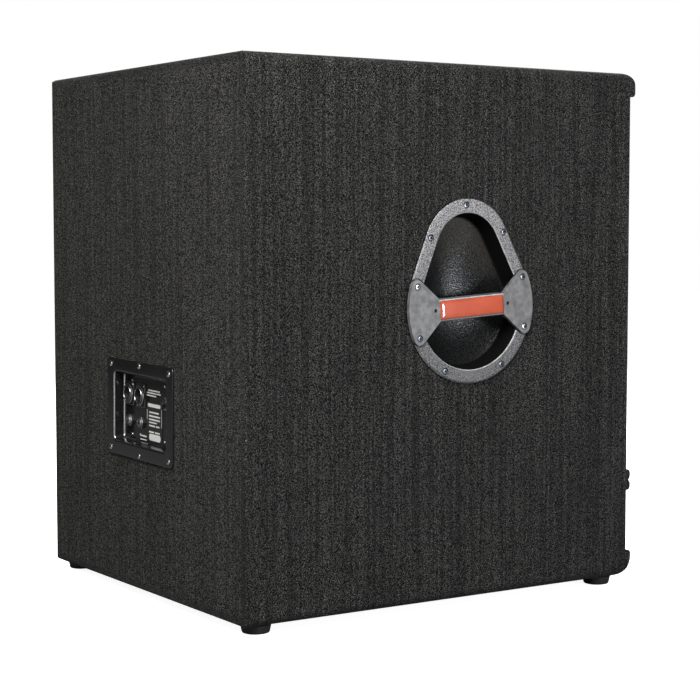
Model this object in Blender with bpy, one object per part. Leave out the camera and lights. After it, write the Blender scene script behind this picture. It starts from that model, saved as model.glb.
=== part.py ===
"""Bass-reflex subwoofer cabinet with one 18 inch driver, carpeted, on four rubber feet.

Frame: metres, +Z up, origin on the floor under the middle of the cabinet. The front, with
the grille and the port slot, faces -Y, and the jack plate is on the rear, facing +Y.
The driver's pieces are laid out by depth, the distance behind the baffle's front face.
"""
import math

import bmesh
import bpy
from mathutils import Matrix, Vector

# Cabinet, over the carpet
BODY_WIDTH = 0.548
BODY_HEIGHT = 0.685
FOOT_HEIGHT = 0.011
EDGE_TO_REAR = 0.601
RAIL_PROUD = 0.009
REAR_PROUD = 0.005
TOTAL_DEPTH = RAIL_PROUD + EDGE_TO_REAR + REAR_PROUD
SIDE_X = BODY_WIDTH / 2
FRONT_Y = -TOTAL_DEPTH / 2
EDGE_Y = FRONT_Y + RAIL_PROUD
REAR_Y = EDGE_Y + EDGE_TO_REAR
BASE_Z = FOOT_HEIGHT
TOP_Z = BASE_Z + BODY_HEIGHT
LONG_EDGE_RADIUS = 0.013
REAR_EDGE_RADIUS = 0.008
REAR_END_RADIUS = 0.006

# Stock and clearances
PLY = 0.018
CARPET = 0.003
GAP = 0.0003
WOOD_INSET = CARPET + GAP
PAST = 0.03            # how far a cutter runs past the surface it opens
ARC_STEPS = 4          # segments in a quarter of a rounded edge
SEGMENTS = 24          # segments round a turned piece
SMALL_SEGMENTS = 14

# Rails across the front, by their carpeted heights
TOP_RAIL_LOW = TOP_Z - 0.032
TOP_RAIL_RADIUS = 0.018
MID_RAIL_LOW = BASE_Z + 0.1184
MID_RAIL_HIGH = BASE_Z + 0.1474
MID_RAIL_PROUD = 0.007
MID_Y = EDGE_Y - MID_RAIL_PROUD
BOTTOM_RAIL_HIGH = BASE_Z + 0.0355
BOTTOM_RAIL_RADIUS = 0.028
RAIL_LIP_RADIUS = 0.005
BEAD_GROOVE_DEPTH = 0.002
BEAD_GROOVE_HALF = 0.003
RAIL_BACK_Y = EDGE_Y + 0.0125

# Boards
PANEL_INNER_X = SIDE_X - WOOD_INSET - PLY
BOARD_HALF = PANEL_INNER_X - GAP
TOP_BOARD_Z = TOP_Z - WOOD_INSET - PLY
BOTTOM_BOARD_Z = BASE_Z + WOOD_INSET + PLY
BACK_BOARD_Y = REAR_Y - WOOD_INSET - PLY
BAFFLE_Y = EDGE_Y + 0.035
SHELF_Z = MID_RAIL_LOW + WOOD_INSET + GAP
DIVIDER_FRONT_Y = EDGE_Y + 0.020
PORT_END_Y = 0.058
BRACE_Y = 0.095
BRACE_BAR = 0.020
REAR_SHEET_MARGIN = 0.011
OPENING_HALF = PANEL_INNER_X + GAP

# Grille
SHEET = 0.0015
GRILLE_HALF = BOARD_HALF - 0.001
GRILLE_LOW = MID_RAIL_HIGH + 0.001
GRILLE_HIGH = TOP_RAIL_LOW - 0.001
GRILLE_SETBACK = 0.003

# Feet and their screws, by radius and height
FOOT_RADIUS = 0.019
FOOT_INSET = 0.027
FOOT_END_INSET = 0.029
FOOT_RECESS_RADIUS = 0.0065
FOOT_RECESS_DEPTH = 0.0055
FOOT_SEGMENTS = 18
FOOT_HOLE_RADIUS = 0.0027
FOOT_CARPET_HOLE = 0.0029
FOOT_PILOT_RADIUS = 0.0025
FOOT_PILOT_TOP = BASE_Z + 0.016
FOOT_SCREW_HEAD = 0.0045
FOOT_SCREW_SHANK = 0.0021
FOOT_SCREW_TIP = BASE_Z + 0.0145
SCREW_SEGMENTS = 10

# Pole socket: its flange is let into the carpet, so that the top stays flat
POLE_RADIUS = 0.0178
POLE_WALL = 0.0025
POLE_DEPTH = 0.080
POLE_FLANGE_RADIUS = 0.045
POLE_SEAT_Z = TOP_Z - CARPET
POLE_FLANGE = TOP_Z - GAP - POLE_SEAT_Z
POLE_CHAMFER = 0.0012
POLE_SEGMENTS = 18

# Handles: each outline is the hull of a small circle above a large one
HANDLE_Y = -0.028
HANDLE_Z = 0.3875
HANDLE_TILT = {-1: math.radians(3.5), 1: 0.0}
HANDLE_RISE = 0.072
HANDLE_TOP_RADIUS = 0.066
HANDLE_LOW_RADIUS = 0.0985
HANDLE_RIM = 0.019
HANDLE_FLANGE = 0.003
HANDLE_WALL = 0.0025
HANDLE_DEPTH = 0.068
HANDLE_SCREWS = ((0.0, 0.130), (-0.058, 0.092), (0.058, 0.092), (-0.045, -0.078), (0.045, -0.078))
EAR_SCREWS = ((-0.0836, -0.0324), (-0.0836, 0.0324), (0.0836, -0.0324), (0.0836, 0.0324))
EAR_THICK = 0.004
EAR_REACH = 0.0415
EAR_SHOULDER = 0.076
EAR_PROUD = 0.00005
EAR_EDGE = 0.002        # from the flange's outline to the ear's
BAR_HALF = 0.052
BAR_HEIGHT = 0.028
BAR_DEPTH = 0.018
BADGE_GAP = 0.0005
BADGE_SIZE = (0.100, 0.023)
BADGE_THICK = 0.0012
BADGE_BORDER = 0.002
HANDLE_SCREW_HOLE = 0.0022
# Bowl's inner wall, from its mouth down, as (shrink of the outline, height)
BOWL_WALL = ((0.002, -0.004), (0.006, -0.030), (0.013, -0.050), (0.026, -0.064))
BOWL_FLOOR_SHRINK = 0.040

# Jack plate on the rear, a little off its middle and a little askew; fittings go by its centre
PLATE_X = -0.0025
PLATE_Z = 0.2495
PLATE_TILT = math.radians(1.1)
PLATE_SIZE = (0.186, 0.130)
PLATE_THICK = 0.0027
PLATE_RADIUS = 0.007
TRAY_SIZE = (0.151, 0.094)
TRAY_FLOOR = (0.1475, 0.088)
TRAY_DEPTH = 0.016
TRAY_WALL = 0.0025
TRAY_CLEARANCE = 0.004
PLATE_FACE_Y = REAR_Y + GAP + PLATE_THICK
TRAY_Y = PLATE_FACE_Y - TRAY_DEPTH
PLATE_CORNER_SCREWS = (0.0825, 0.056)
PLATE_MIDDLE_SCREWS = 0.059
PLATE_SCREW_HEAD = 0.0041
PLATE_SCREW_SHANK = 0.0018
PLATE_SCREW_LENGTH = 0.019
PLATE_PILOT_RADIUS = 0.0022
PLATE_HOLE_RADIUS = 0.0023
PLATE_CARPET_HOLE = 0.0026
BEHIND_TRAY = -TRAY_WALL - GAP
BORE_CLEARANCE = 0.0004

# Speaker sockets: flange size, radii, and depths from the tray's floor
SOCKET_X = (0.055, 0.023)
SOCKET_RISE = 0.0175
SOCKET_FLANGE = (0.026, 0.031)
SOCKET_FLANGE_FRONT = 0.0023
SOCKET_CORE_RADIUS = 0.0050
SOCKET_CORE_FRONT = 0.0015
SOCKET_RING_RADIUS = 0.0095
SOCKET_COLLAR_RADIUS = 0.0126
SOCKET_COLLAR_FRONT = 0.0055
SOCKET_BODY_RADIUS = 0.0118
SOCKET_RING_BACK = -0.0150
SOCKET_BACK = -0.0190

# Phone jacks: bush, nut and body
JACK_RISE = -0.0185
JACK_BORE = 0.0033
JACK_BUSH_RADIUS = 0.0059
JACK_BUSH_FRONT = 0.0055
JACK_NUT_RADIUS = 0.0080
JACK_NUT_FRONT = 0.0033
JACK_BODY_RADIUS = 0.0078
JACK_BORE_BACK = -0.0180
JACK_BACK = -0.0240

# Breaker and its reset button
BREAKER_X = -0.049
BREAKER_RISE = 0.0135
BREAKER_BEZEL_RADIUS = 0.0088
BREAKER_BEZEL_FRONT = 0.0050
BREAKER_NECK_RADIUS = 0.0060
BREAKER_BODY_RADIUS = 0.0095
BREAKER_BACK = -0.0200
BUTTON_RADIUS = 0.004
BUTTON_CLEARANCE = 0.0006
BUTTON_FRONT = 0.0090
BUTTON_BACK = -0.0070
BUTTON_WELL = -0.0110

# Blank label in the tray
LABEL_X = -0.014
LABEL_RISE = -0.0145
LABEL_SIZE = (0.044, 0.051)
LABEL_RADIUS = 0.002
LABEL_FACE = 0.0008

# Driver: centre height, and (radius, depth) sizes
DRIVER_Z = 0.412
CUTOUT_RADIUS = 0.210
FLANGE_RADIUS = 0.230
FLANGE_FRONT = -0.0083
CONE_NECK = (0.0514, 0.066)
CONE_RIM = (0.174, -0.003)
CONE_THICK = 0.0022
CONE_CURVE = 0.85
SURROUND_LIP = 0.165
SURROUND_OUTER = 0.202
SURROUND_EDGE = 0.213
SURROUND_THICK = 0.0012
SURROUND_DROP = 0.001   # from the flange's face to the surround's middle
ROLL_HEIGHT = 0.007
GASKET_RADII = (0.2035, 0.2135)
GASKET_THICK = 0.0025
DUST_CAP_RADIUS = 0.062
DUST_CAP_RISE = 0.022
DUST_CAP_THICK = 0.0012
DUST_CAP_SEAT = 0.0005
COIL_RADIUS = 0.0499
COIL_WALL = 0.0012
COIL_DEPTHS = (0.058, 0.136)
POLE_PIECE_RADIUS = 0.0489
SPIDER_OUTER = 0.098
SPIDER_FLAT = 0.012
SPIDER_DEPTH = 0.0889
SPIDER_WAVE = 0.0016
SPIDER_WAVES = 2
SPIDER_THICK = 0.0008
SPIDER_TO_COIL = 0.0004
BASKET_BACK = 0.1177
BASKET_RING = 0.112
BASKET_MOUTH = 0.201
BASKET_BORE = 0.056
# Basket's outside from its flange to its ring, and its inside back again, as (radius, depth)
BASKET_OUTSIDE = ((0.207, -GAP), (0.205, 0.012), (0.146, 0.084), (BASKET_RING, 0.096))
BASKET_INSIDE = ((0.086, 0.112), (0.086, 0.0898), (0.104, 0.0898), (0.108, 0.081), (0.143, 0.079))
SPOKES = 8
# Gaps between the spokes: (radius, half angle) of their inner and outer ends, and their depths
SPOKE_GAP = ((0.135, 0.26), (0.240, 0.32))
SPOKE_GAP_DEPTHS = (0.018, 0.070)
PLATE_BORE = 0.0523
TOP_PLATE_RADIUS = 0.098
MAGNET_RADII = (0.060, 0.110)
MAGNET_FRONT = 0.1283
MAGNET_BACK = 0.152
MAGNET_CHAMFER = 0.002
YOKE_RADIUS = 0.104
YOKE_THICK = 0.012
YOKE_CHAMFER = 0.003
VENT_RADIUS = 0.015
TERMINAL_HALF = 0.015
TERMINAL_DEPTHS = (0.099, 0.115)
TERMINAL_HEIGHT = 0.008

# Crossover on the back panel, and its leads
CROSSOVER_Z = 0.430
CROSSOVER_SIZE = (0.140, 0.090)
BOARD_THICK = 0.002
CHOKE_X = -0.030
CHOKE_RADII = (0.013, 0.033)
CHOKE_WIDTH = 0.028
CHOKE_CORNER = 0.002
CAPACITOR_X = 0.040
CAPACITOR_RADIUS = 0.012
CAPACITOR_LENGTH = 0.048
CAPACITOR_CORNER = 0.001
CABLE_RADIUS = 0.0028

MATERIALS = {
    "carpet": ((0.014, 0.014, 0.015), 0.95, 0.0),
    "plywood": ((0.48, 0.33, 0.19), 0.7, 0.0),
    "black_steel": ((0.02, 0.02, 0.021), 0.5, 0.7),
    "zinc": ((0.62, 0.62, 0.60), 0.35, 1.0),
    "rubber": ((0.02, 0.02, 0.02), 0.85, 0.0),
    "grey_plastic": ((0.16, 0.17, 0.18), 0.6, 0.0),
    "black_plastic": ((0.018, 0.018, 0.019), 0.45, 0.0),
    "gloss_plastic": ((0.02, 0.02, 0.021), 0.2, 0.0),
    "badge_red": ((0.72, 0.07, 0.03), 0.15, 0.0),
    "cast_alloy": ((0.05, 0.05, 0.052), 0.5, 0.8),
    "paper_cone": ((0.03, 0.03, 0.032), 0.85, 0.0),
    "impregnated_cloth": ((0.35, 0.22, 0.08), 0.9, 0.0),
    "ferrite": ((0.07, 0.07, 0.075), 0.7, 0.1),
    "copper": ((0.72, 0.38, 0.22), 0.35, 1.0),
    "circuit_board": ((0.04, 0.16, 0.07), 0.5, 0.0),
    "paper_label": ((0.75, 0.75, 0.72), 0.6, 0.0),
    "cable_sheath": ((0.03, 0.03, 0.03), 0.6, 0.0),
}

# The (u, v, along) axes of an outline drawn square to each axis
PLANES = {"X": (1, 2, 0), "Y": (0, 2, 1), "Z": (0, 1, 2)}


# ---- building blocks -------------------------------------------------------------------

def material(name):
    """The named Principled material, made the first time it is asked for."""
    if name in bpy.data.materials:
        return bpy.data.materials[name]
    colour, roughness, metallic = MATERIALS[name]
    made = bpy.data.materials.new(name)
    made.use_nodes = True
    shader = made.node_tree.nodes["Principled BSDF"]
    shader.inputs["Base Color"].default_value = (*colour, 1.0)
    shader.inputs["Roughness"].default_value = roughness
    shader.inputs["Metallic"].default_value = metallic
    return made


def finish_mesh(bm, name, material_name=None, location=(0, 0, 0), smooth=False):
    """Turn a bmesh into a linked object with outward faces."""
    bmesh.ops.recalc_face_normals(bm, faces=bm.faces)
    mesh = bpy.data.meshes.new(name)
    bm.to_mesh(mesh)
    bm.free()
    made = bpy.data.objects.new(name, mesh)
    made.location = location
    bpy.context.scene.collection.objects.link(made)
    if material_name:
        mesh.materials.append(material(material_name))
    if smooth:
        mesh.shade_smooth()
        mesh.set_sharp_from_angle(angle=math.radians(35))
    return made


def rounded(corners, inset=0.0, steps=ARC_STEPS):
    """Anticlockwise (u, v, radius) corners as points, each edge moved inward by inset."""
    points = []
    count = len(corners)
    for index, (u, v, radius) in enumerate(corners):
        here = Vector((u, v))
        before = Vector(corners[index - 1][:2])
        after = Vector(corners[(index + 1) % count][:2])
        arriving = (here - before).normalized()
        leaving = (after - here).normalized()
        left_in = Vector((-arriving.y, arriving.x))
        left_out = Vector((-leaving.y, leaving.x))
        corner = here + (left_in + left_out) * (inset / (1 + left_in.dot(left_out)))
        turn = math.atan2(arriving.x * leaving.y - arriving.y * leaving.x, arriving.dot(leaving))
        if radius - inset <= 0.0005 or turn < 0:
            points.append((corner.x, corner.y))
            continue
        radius -= inset
        start = corner - arriving * (radius * math.tan(turn / 2))
        centre = start + left_in * radius
        for step in range(steps + 1):
            spoke = start - centre
            spoke.rotate(Matrix.Rotation(turn * step / steps, 2))
            points.append(tuple(centre + spoke))
    return points


def rectangle(width, height, radius=0.0, centre=(0.0, 0.0)):
    """Corners of a centred rectangle, anticlockwise."""
    half_u, half_v = width / 2, height / 2
    signs = ((-1, -1), (1, -1), (1, 1), (-1, 1))
    return [(centre[0] + a * half_u, centre[1] + b * half_v, radius) for a, b in signs]


def circle(radius, centre=(0.0, 0.0), sides=12):
    """Points of a regular polygon, anticlockwise."""
    angles = [2 * math.pi * (index + 0.5) / sides for index in range(sides)]
    return [(centre[0] + radius * math.cos(a), centre[1] + radius * math.sin(a)) for a in angles]


def prism(name, axis, points, low, high, material_name=None, **options):
    """Solid of an outline carried along an axis from low to high."""
    u, v, along = PLANES[axis]
    loops = []
    for place in (low, high):
        loop = []
        for point in points:
            corner = [0.0, 0.0, 0.0]
            corner[u], corner[v], corner[along] = point[0], point[1], place
            loop.append(corner)
        loops.append(loop)
    return loft(name, loops, material_name, **options)


def block(name, x, y, z, material_name=None, **options):
    """Box between (low, high) pairs."""
    corners = [(x[0], y[0]), (x[1], y[0]), (x[1], y[1]), (x[0], y[1])]
    return prism(name, "Z", corners, z[0], z[1], material_name, **options)


def skin(bm, ring, following):
    """Faces between two rings of vertices; a ring of one vertex is a tip."""
    if len(ring) == 1 and len(following) == 1:
        return
    count = max(len(ring), len(following))
    for index in range(count):
        after = (index + 1) % count
        corners = []
        for group, places in ((ring, (index, after)), (following, (after, index))):
            if len(group) == 1:
                corners.append(group[0])
            else:
                corners.extend(group[place] for place in places)
        bm.faces.new(corners)


def loft(name, loops, material_name=None, frame=None, **options):
    """Closed solid through loops of equal length, with a cap on the first and the last."""
    bm = bmesh.new()
    rings = [[bm.verts.new(point) for point in loop] for loop in loops]
    for ring, following in zip(rings, rings[1:]):
        skin(bm, ring, following)
    bm.faces.new(rings[0])
    bm.faces.new(rings[-1])
    if frame:
        bm.transform(frame)
    return finish_mesh(bm, name, material_name, **options)


def turned(name, profile, material_name=None, segments=SEGMENTS, **options):
    """Closed (radius, depth) profile turned about the local Y axis."""
    bm = bmesh.new()
    rings = []
    for radius, depth in profile:
        if radius == 0:
            rings.append([bm.verts.new((0, depth, 0))])
            continue
        points = circle(radius, sides=segments)
        rings.append([bm.verts.new((x, depth, z)) for x, z in points])
    for ring, following in zip(rings, rings[1:] + rings[:1]):
        skin(bm, ring, following)
    options.setdefault("smooth", True)
    return finish_mesh(bm, name, material_name, **options)


def tube(name, knots, radius, material_name, sides=6, steps=4):
    """Round cable along a smooth curve through its knots."""
    points = smooth_path([Vector(knot) for knot in knots], steps)
    loops = []
    across = None
    for index, point in enumerate(points):
        before = points[max(index - 1, 0)]
        after = points[min(index + 1, len(points) - 1)]
        along = (after - before).normalized()
        if across is None:
            across = along.orthogonal().normalized()
        across = (across - along * across.dot(along)).normalized()
        other = along.cross(across)
        loops.append([point + across * u + other * v for u, v in circle(radius, sides=sides)])
    return loft(name, loops, material_name, smooth=True)


def smooth_path(knots, steps):
    """Catmull-Rom points through the knots."""
    padded = [2 * knots[0] - knots[1]] + knots + [2 * knots[-1] - knots[-2]]
    points = []
    for a, b, c, d in zip(padded, padded[1:], padded[2:], padded[3:]):
        for step in range(steps):
            t = step / steps
            curve = 2 * b + (c - a) * t + (2 * a - 5 * b + 4 * c - d) * t * t
            points.append((curve + (3 * b - 3 * c + d - a) * t ** 3) / 2)
    return points + [knots[-1]]


def combine(body, tools, operation="DIFFERENCE"):
    """Apply one exact Boolean for each tool, then remove the tools."""
    for tool in tools:
        step = body.modifiers.new("combine", "BOOLEAN")
        step.operation = operation
        step.solver = "EXACT"
        step.object = tool
    bpy.context.view_layer.update()
    evaluated = body.evaluated_get(bpy.context.evaluated_depsgraph_get())
    result = bpy.data.meshes.new_from_object(evaluated)
    body.modifiers.clear()
    old = body.data
    result.name = old.name
    body.data = result
    bpy.data.meshes.remove(old)
    for tool in tools:
        bpy.data.objects.remove(tool)
    return body


def axis_empty(name, location):
    """Empty on a joint's axis, which carries the pieces that move there."""
    made = bpy.data.objects.new(name, None)
    made.location = location
    bpy.context.scene.collection.objects.link(made)
    return made


# ---- cabinet ---------------------------------------------------------------------------

def side_profile(inset):
    """Side view of the cabinet: the rails stand proud of the side panels' front edges."""
    middle = (MID_RAIL_LOW + MID_RAIL_HIGH) / 2
    groove = []
    if inset == 0:
        groove = [
            (MID_Y, middle + BEAD_GROOVE_HALF, RAIL_LIP_RADIUS),
            (MID_Y + BEAD_GROOVE_DEPTH, middle, 0),
            (MID_Y, middle - BEAD_GROOVE_HALF, RAIL_LIP_RADIUS),
        ]
    corners = [
        (FRONT_Y, BASE_Z, BOTTOM_RAIL_RADIUS),
        (REAR_Y, BASE_Z, REAR_END_RADIUS),
        (REAR_Y, TOP_Z, REAR_END_RADIUS),
        (FRONT_Y, TOP_Z, TOP_RAIL_RADIUS),
        (FRONT_Y, TOP_RAIL_LOW, RAIL_LIP_RADIUS),
        (EDGE_Y, TOP_RAIL_LOW, 0),
        (EDGE_Y, MID_RAIL_HIGH, 0),
        (MID_Y, MID_RAIL_HIGH, RAIL_LIP_RADIUS),
        *groove,
        (MID_Y, MID_RAIL_LOW, RAIL_LIP_RADIUS),
        (EDGE_Y, MID_RAIL_LOW, 0),
        (EDGE_Y, BOTTOM_RAIL_HIGH, 0),
        (FRONT_Y, BOTTOM_RAIL_HIGH, RAIL_LIP_RADIUS),
    ]
    return rounded(corners, inset)


def edge_strip(axis, corner, outward, radius):
    """Cutter that rounds one long edge: a square strip less a quarter disc."""
    (cu, cv), (su, sv) = corner, outward
    points = [(cu + su * PAST, cv + sv * PAST), (cu - su * radius, cv + sv * PAST)]
    for step in range(ARC_STEPS + 1):
        angle = math.pi / 2 * (1 - step / ARC_STEPS)
        points.append((
            cu - su * radius * (1 - math.cos(angle)),
            cv - sv * radius * (1 - math.sin(angle)),
        ))
    points.append((cu + su * PAST, cv - sv * radius))
    return prism("strip", axis, points, -1.0, 1.0)


def envelope(inset):
    """The cabinet's rounded outer form, moved inward by inset."""
    half = SIDE_X - inset
    body = prism("envelope", "X", side_profile(inset), -half, half)
    strips = []
    for side in (-1, 1):
        for level, place in ((-1, BASE_Z + inset), (1, TOP_Z - inset)):
            corner = (side * half, place)
            strips.append(edge_strip("Y", corner, (side, level), LONG_EDGE_RADIUS - inset))
        corner = (side * half, REAR_Y - inset)
        strips.append(edge_strip("Z", corner, (side, 1), REAR_EDGE_RADIUS - inset))
    return combine(body, strips)


def board(name, x, y, z, cutters=()):
    """Plywood board, trimmed to the cabinet's rounded form."""
    made = block(name, x, y, z, "plywood")
    combine(made, [envelope(WOOD_INSET)], "INTERSECT")
    if cutters:
        combine(made, cutters)
    return made


def rail_heights():
    """Each rail's name with the lowest and highest point of its wood."""
    inset = WOOD_INSET + GAP
    return (
        ("top_rail", TOP_RAIL_LOW + inset, TOP_Z + PAST),
        ("mid_rail", MID_RAIL_LOW + inset, MID_RAIL_HIGH - inset),
        ("bottom_rail", BASE_Z - PAST, BOTTOM_RAIL_HIGH - inset),
    )


def side_panels():
    """Left and right panels, notched for the rails and opened for the handle cups."""
    for name, side in (("left_panel", -1), ("right_panel", 1)):
        x = sorted((side * PANEL_INNER_X, side * (SIDE_X + PAST)))
        cutters = [
            block("notch", (-1, 1), (FRONT_Y - PAST, RAIL_BACK_Y + GAP), (low - 2 * GAP, high + 2 * GAP))
            for _, low, high in rail_heights()
        ]
        cutters.append(handle_opening(side))
        board(name, x, (FRONT_Y - PAST, REAR_Y + PAST), (BASE_Z - PAST, TOP_Z + PAST), cutters)


def end_panels():
    """Top with the pole socket's bore, bottom with blind holes for the foot screws."""
    x = (-BOARD_HALF, BOARD_HALF)
    y = (RAIL_BACK_Y + GAP, REAR_Y + PAST)
    bore = pole_hole(POLE_RADIUS + POLE_WALL)
    board("top_panel", x, y, (TOP_BOARD_Z, TOP_Z + PAST), [bore])
    pilots = [foot_hole(place, FOOT_PILOT_RADIUS, FOOT_PILOT_TOP) for place in foot_places()]
    board("bottom_panel", x, y, (BASE_Z - PAST, BOTTOM_BOARD_Z), pilots)


def back_panel():
    """Rear board, opened for the jack plate's tray and its screws."""
    cutters = [tray_hole()]
    cutters += [plate_hole(place, PLATE_PILOT_RADIUS) for place in plate_screw_places()]
    board(
        "back_panel",
        (-BOARD_HALF, BOARD_HALF),
        (BACK_BOARD_Y, REAR_Y + PAST),
        (BOTTOM_BOARD_Z + GAP, TOP_BOARD_Z - GAP),
        cutters,
    )


def inner_boards():
    """Baffle, port shelf, port divider and window brace."""
    x = (-BOARD_HALF, BOARD_HALF)
    shelf_top = SHELF_Z + PLY
    outline = circle(CUTOUT_RADIUS, (0, DRIVER_Z), SEGMENTS)
    cutout = prism("cutout", "Y", outline, BAFFLE_Y - PAST, BAFFLE_Y + PAST)
    baffle_z = (shelf_top + GAP, TOP_BOARD_Z - GAP)
    baffle = block("front_baffle", x, (BAFFLE_Y, BAFFLE_Y + PLY), baffle_z, "plywood")
    combine(baffle, [cutout])
    block("port_shelf", x, (RAIL_BACK_Y + GAP, PORT_END_Y), (SHELF_Z, shelf_top), "plywood")
    block(
        "port_divider",
        (-PLY / 2, PLY / 2),
        (DIVIDER_FRONT_Y, PORT_END_Y),
        (BOTTOM_BOARD_Z + GAP, SHELF_Z - GAP),
        "plywood",
    )
    brace_z = (BOTTOM_BOARD_Z + GAP, TOP_BOARD_Z - GAP)
    brace = block("window_brace", x, (BRACE_Y, BRACE_Y + PLY), brace_z, "plywood")
    middle = sum(brace_z) / 2
    windows = []
    for side in (-1, 1):
        for low, high in ((brace_z[0], middle), (middle, brace_z[1])):
            window_x = sorted((side * BRACE_BAR, side * (BOARD_HALF - BRACE_BAR)))
            window_z = (low + BRACE_BAR, high - BRACE_BAR)
            windows.append(block("window", window_x, (BRACE_Y - PAST, BRACE_Y + PAST), window_z))
    combine(brace, windows)


def rails():
    """Wooden rails across the front, let into the side panels."""
    for name, low, high in rail_heights():
        board(name, (-SIDE_X - PAST, SIDE_X + PAST), (FRONT_Y - PAST, RAIL_BACK_Y), (low, high))


def carpet():
    """Cover wrapped round the box and its rails, and a separate sheet on the rear."""
    cover = envelope(0)
    cover.name = "carpet_cover"
    cover.data.materials.append(material("carpet"))
    openings = [envelope(CARPET)]
    for low, high in ((BOTTOM_RAIL_HIGH, MID_RAIL_LOW), (MID_RAIL_HIGH, TOP_RAIL_LOW)):
        openings.append(
            block("mouth", (-OPENING_HALF, OPENING_HALF), (EDGE_Y - CARPET, EDGE_Y + PAST), (low, high))
        )
    openings.append(pole_hole(POLE_FLANGE_RADIUS))
    openings += [handle_opening(side) for side in (-1, 1)]
    openings += [foot_hole(place, FOOT_CARPET_HOLE, BASE_Z + PAST) for place in foot_places()]
    half = SIDE_X - REAR_SHEET_MARGIN
    heights = (BASE_Z + REAR_SHEET_MARGIN, TOP_Z - REAR_SHEET_MARGIN)
    openings.append(block("rear", (-half, half), (REAR_Y - PAST, REAR_Y + PAST), heights))
    combine(cover, openings)
    sheet = block(
        "carpet_rear",
        (-half + GAP, half - GAP),
        (REAR_Y - CARPET, REAR_Y),
        (heights[0] + GAP, heights[1] - GAP),
        "carpet",
    )
    cutters = [tray_hole()]
    cutters += [plate_hole(place, PLATE_CARPET_HOLE) for place in plate_screw_places()]
    combine(sheet, cutters)


def grille():
    """Steel pan, open behind, whose folded edges reach back to the baffle."""
    front = EDGE_Y + GRILLE_SETBACK
    outer = (-GRILLE_HALF, GRILLE_HALF), (front, BAFFLE_Y - GAP), (GRILLE_LOW, GRILLE_HIGH)
    inner = (
        (-GRILLE_HALF + SHEET, GRILLE_HALF - SHEET),
        (front + SHEET, BAFFLE_Y + PAST),
        (GRILLE_LOW + SHEET, GRILLE_HIGH - SHEET),
    )
    combine(block("grille", *outer, "black_steel"), [block("hollow", *inner)])


# ---- feet and pole socket --------------------------------------------------------------

def foot_places():
    """Centres of the four feet."""
    x = SIDE_X - FOOT_INSET
    front, rear = EDGE_Y + FOOT_END_INSET, REAR_Y - FOOT_END_INSET
    return ((-x, front), (x, front), (-x, rear), (x, rear))


def foot_hole(place, radius, top):
    """Cutter for a foot screw, from under the foot up to top."""
    return prism("hole", "Z", circle(radius, place), -PAST, top)


def feet():
    """Rubber feet with a recessed screw each."""
    names = ("front_left", "front_right", "rear_left", "rear_right")
    upright = Matrix.Rotation(math.pi / 2, 4, "X")
    top = FOOT_HEIGHT - GAP
    seat = FOOT_RECESS_DEPTH - GAP
    foot_profile = [
        (FOOT_HOLE_RADIUS, top),
        (FOOT_HOLE_RADIUS, FOOT_RECESS_DEPTH),
        (FOOT_RECESS_RADIUS, FOOT_RECESS_DEPTH),
        (FOOT_RECESS_RADIUS, 0.0),
        (FOOT_RADIUS - 0.0035, 0.0),
        (FOOT_RADIUS - 0.002, 0.0015),
        (FOOT_RADIUS, top - 0.001),
        (FOOT_RADIUS, top),
    ]
    screw_profile = [
        (0.0, seat - 0.0027),
        (FOOT_SCREW_HEAD - 0.0013, seat - 0.0027),
        (FOOT_SCREW_HEAD, seat - 0.0017),
        (FOOT_SCREW_HEAD, seat),
        (FOOT_SCREW_SHANK, seat),
        (FOOT_SCREW_SHANK, FOOT_SCREW_TIP - 0.002),
        (0.0, FOOT_SCREW_TIP),
    ]
    for name, place in zip(names, foot_places()):
        options = {"location": (*place, 0.0)}
        foot = turned("foot_" + name, foot_profile, "rubber", FOOT_SEGMENTS, **options)
        foot.data.transform(upright)
        screw = turned("foot_screw_" + name, screw_profile, "zinc", SCREW_SEGMENTS, **options)
        screw.data.transform(upright)


def pole_hole(radius):
    """Cutter that clears a round part of the pole socket."""
    outline = circle(radius + 2 * GAP, sides=POLE_SEGMENTS)
    return prism("bore", "Z", outline, TOP_BOARD_Z - PAST, TOP_Z + PAST)


def pole_socket():
    """Moulded top-hat socket for a 35 mm satellite pole, let into the top."""
    wall = POLE_RADIUS + POLE_WALL
    profile = [
        (0.0, -POLE_DEPTH),
        (POLE_RADIUS, -POLE_DEPTH),
        (POLE_RADIUS, POLE_FLANGE - POLE_CHAMFER),
        (POLE_RADIUS + POLE_CHAMFER, POLE_FLANGE),
        (POLE_FLANGE_RADIUS - POLE_CHAMFER, POLE_FLANGE),
        (POLE_FLANGE_RADIUS, POLE_FLANGE - POLE_CHAMFER),
        (POLE_FLANGE_RADIUS, 0.0),
        (wall, 0.0),
        (wall, -POLE_DEPTH - POLE_WALL),
        (0.0, -POLE_DEPTH - POLE_WALL),
    ]
    made = turned("pole_socket", profile, "black_plastic", POLE_SEGMENTS, location=(0, 0, POLE_SEAT_Z))
    made.data.transform(Matrix.Rotation(math.pi / 2, 4, "X"))


# ---- handles ---------------------------------------------------------------------------

def handle_frame(side):
    """Axes of a handle: u toward the front, v up, w outward, tilted about w."""
    axes = Matrix(((0, 0, side), (-1, 0, 0), (0, 1, 0))).to_4x4()
    return axes @ Matrix.Rotation(HANDLE_TILT[side], 4, "Z")


def handle_place(side):
    """Middle of a handle's bar on the carpet's face."""
    return Vector((side * SIDE_X, HANDLE_Y, HANDLE_Z))


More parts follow.
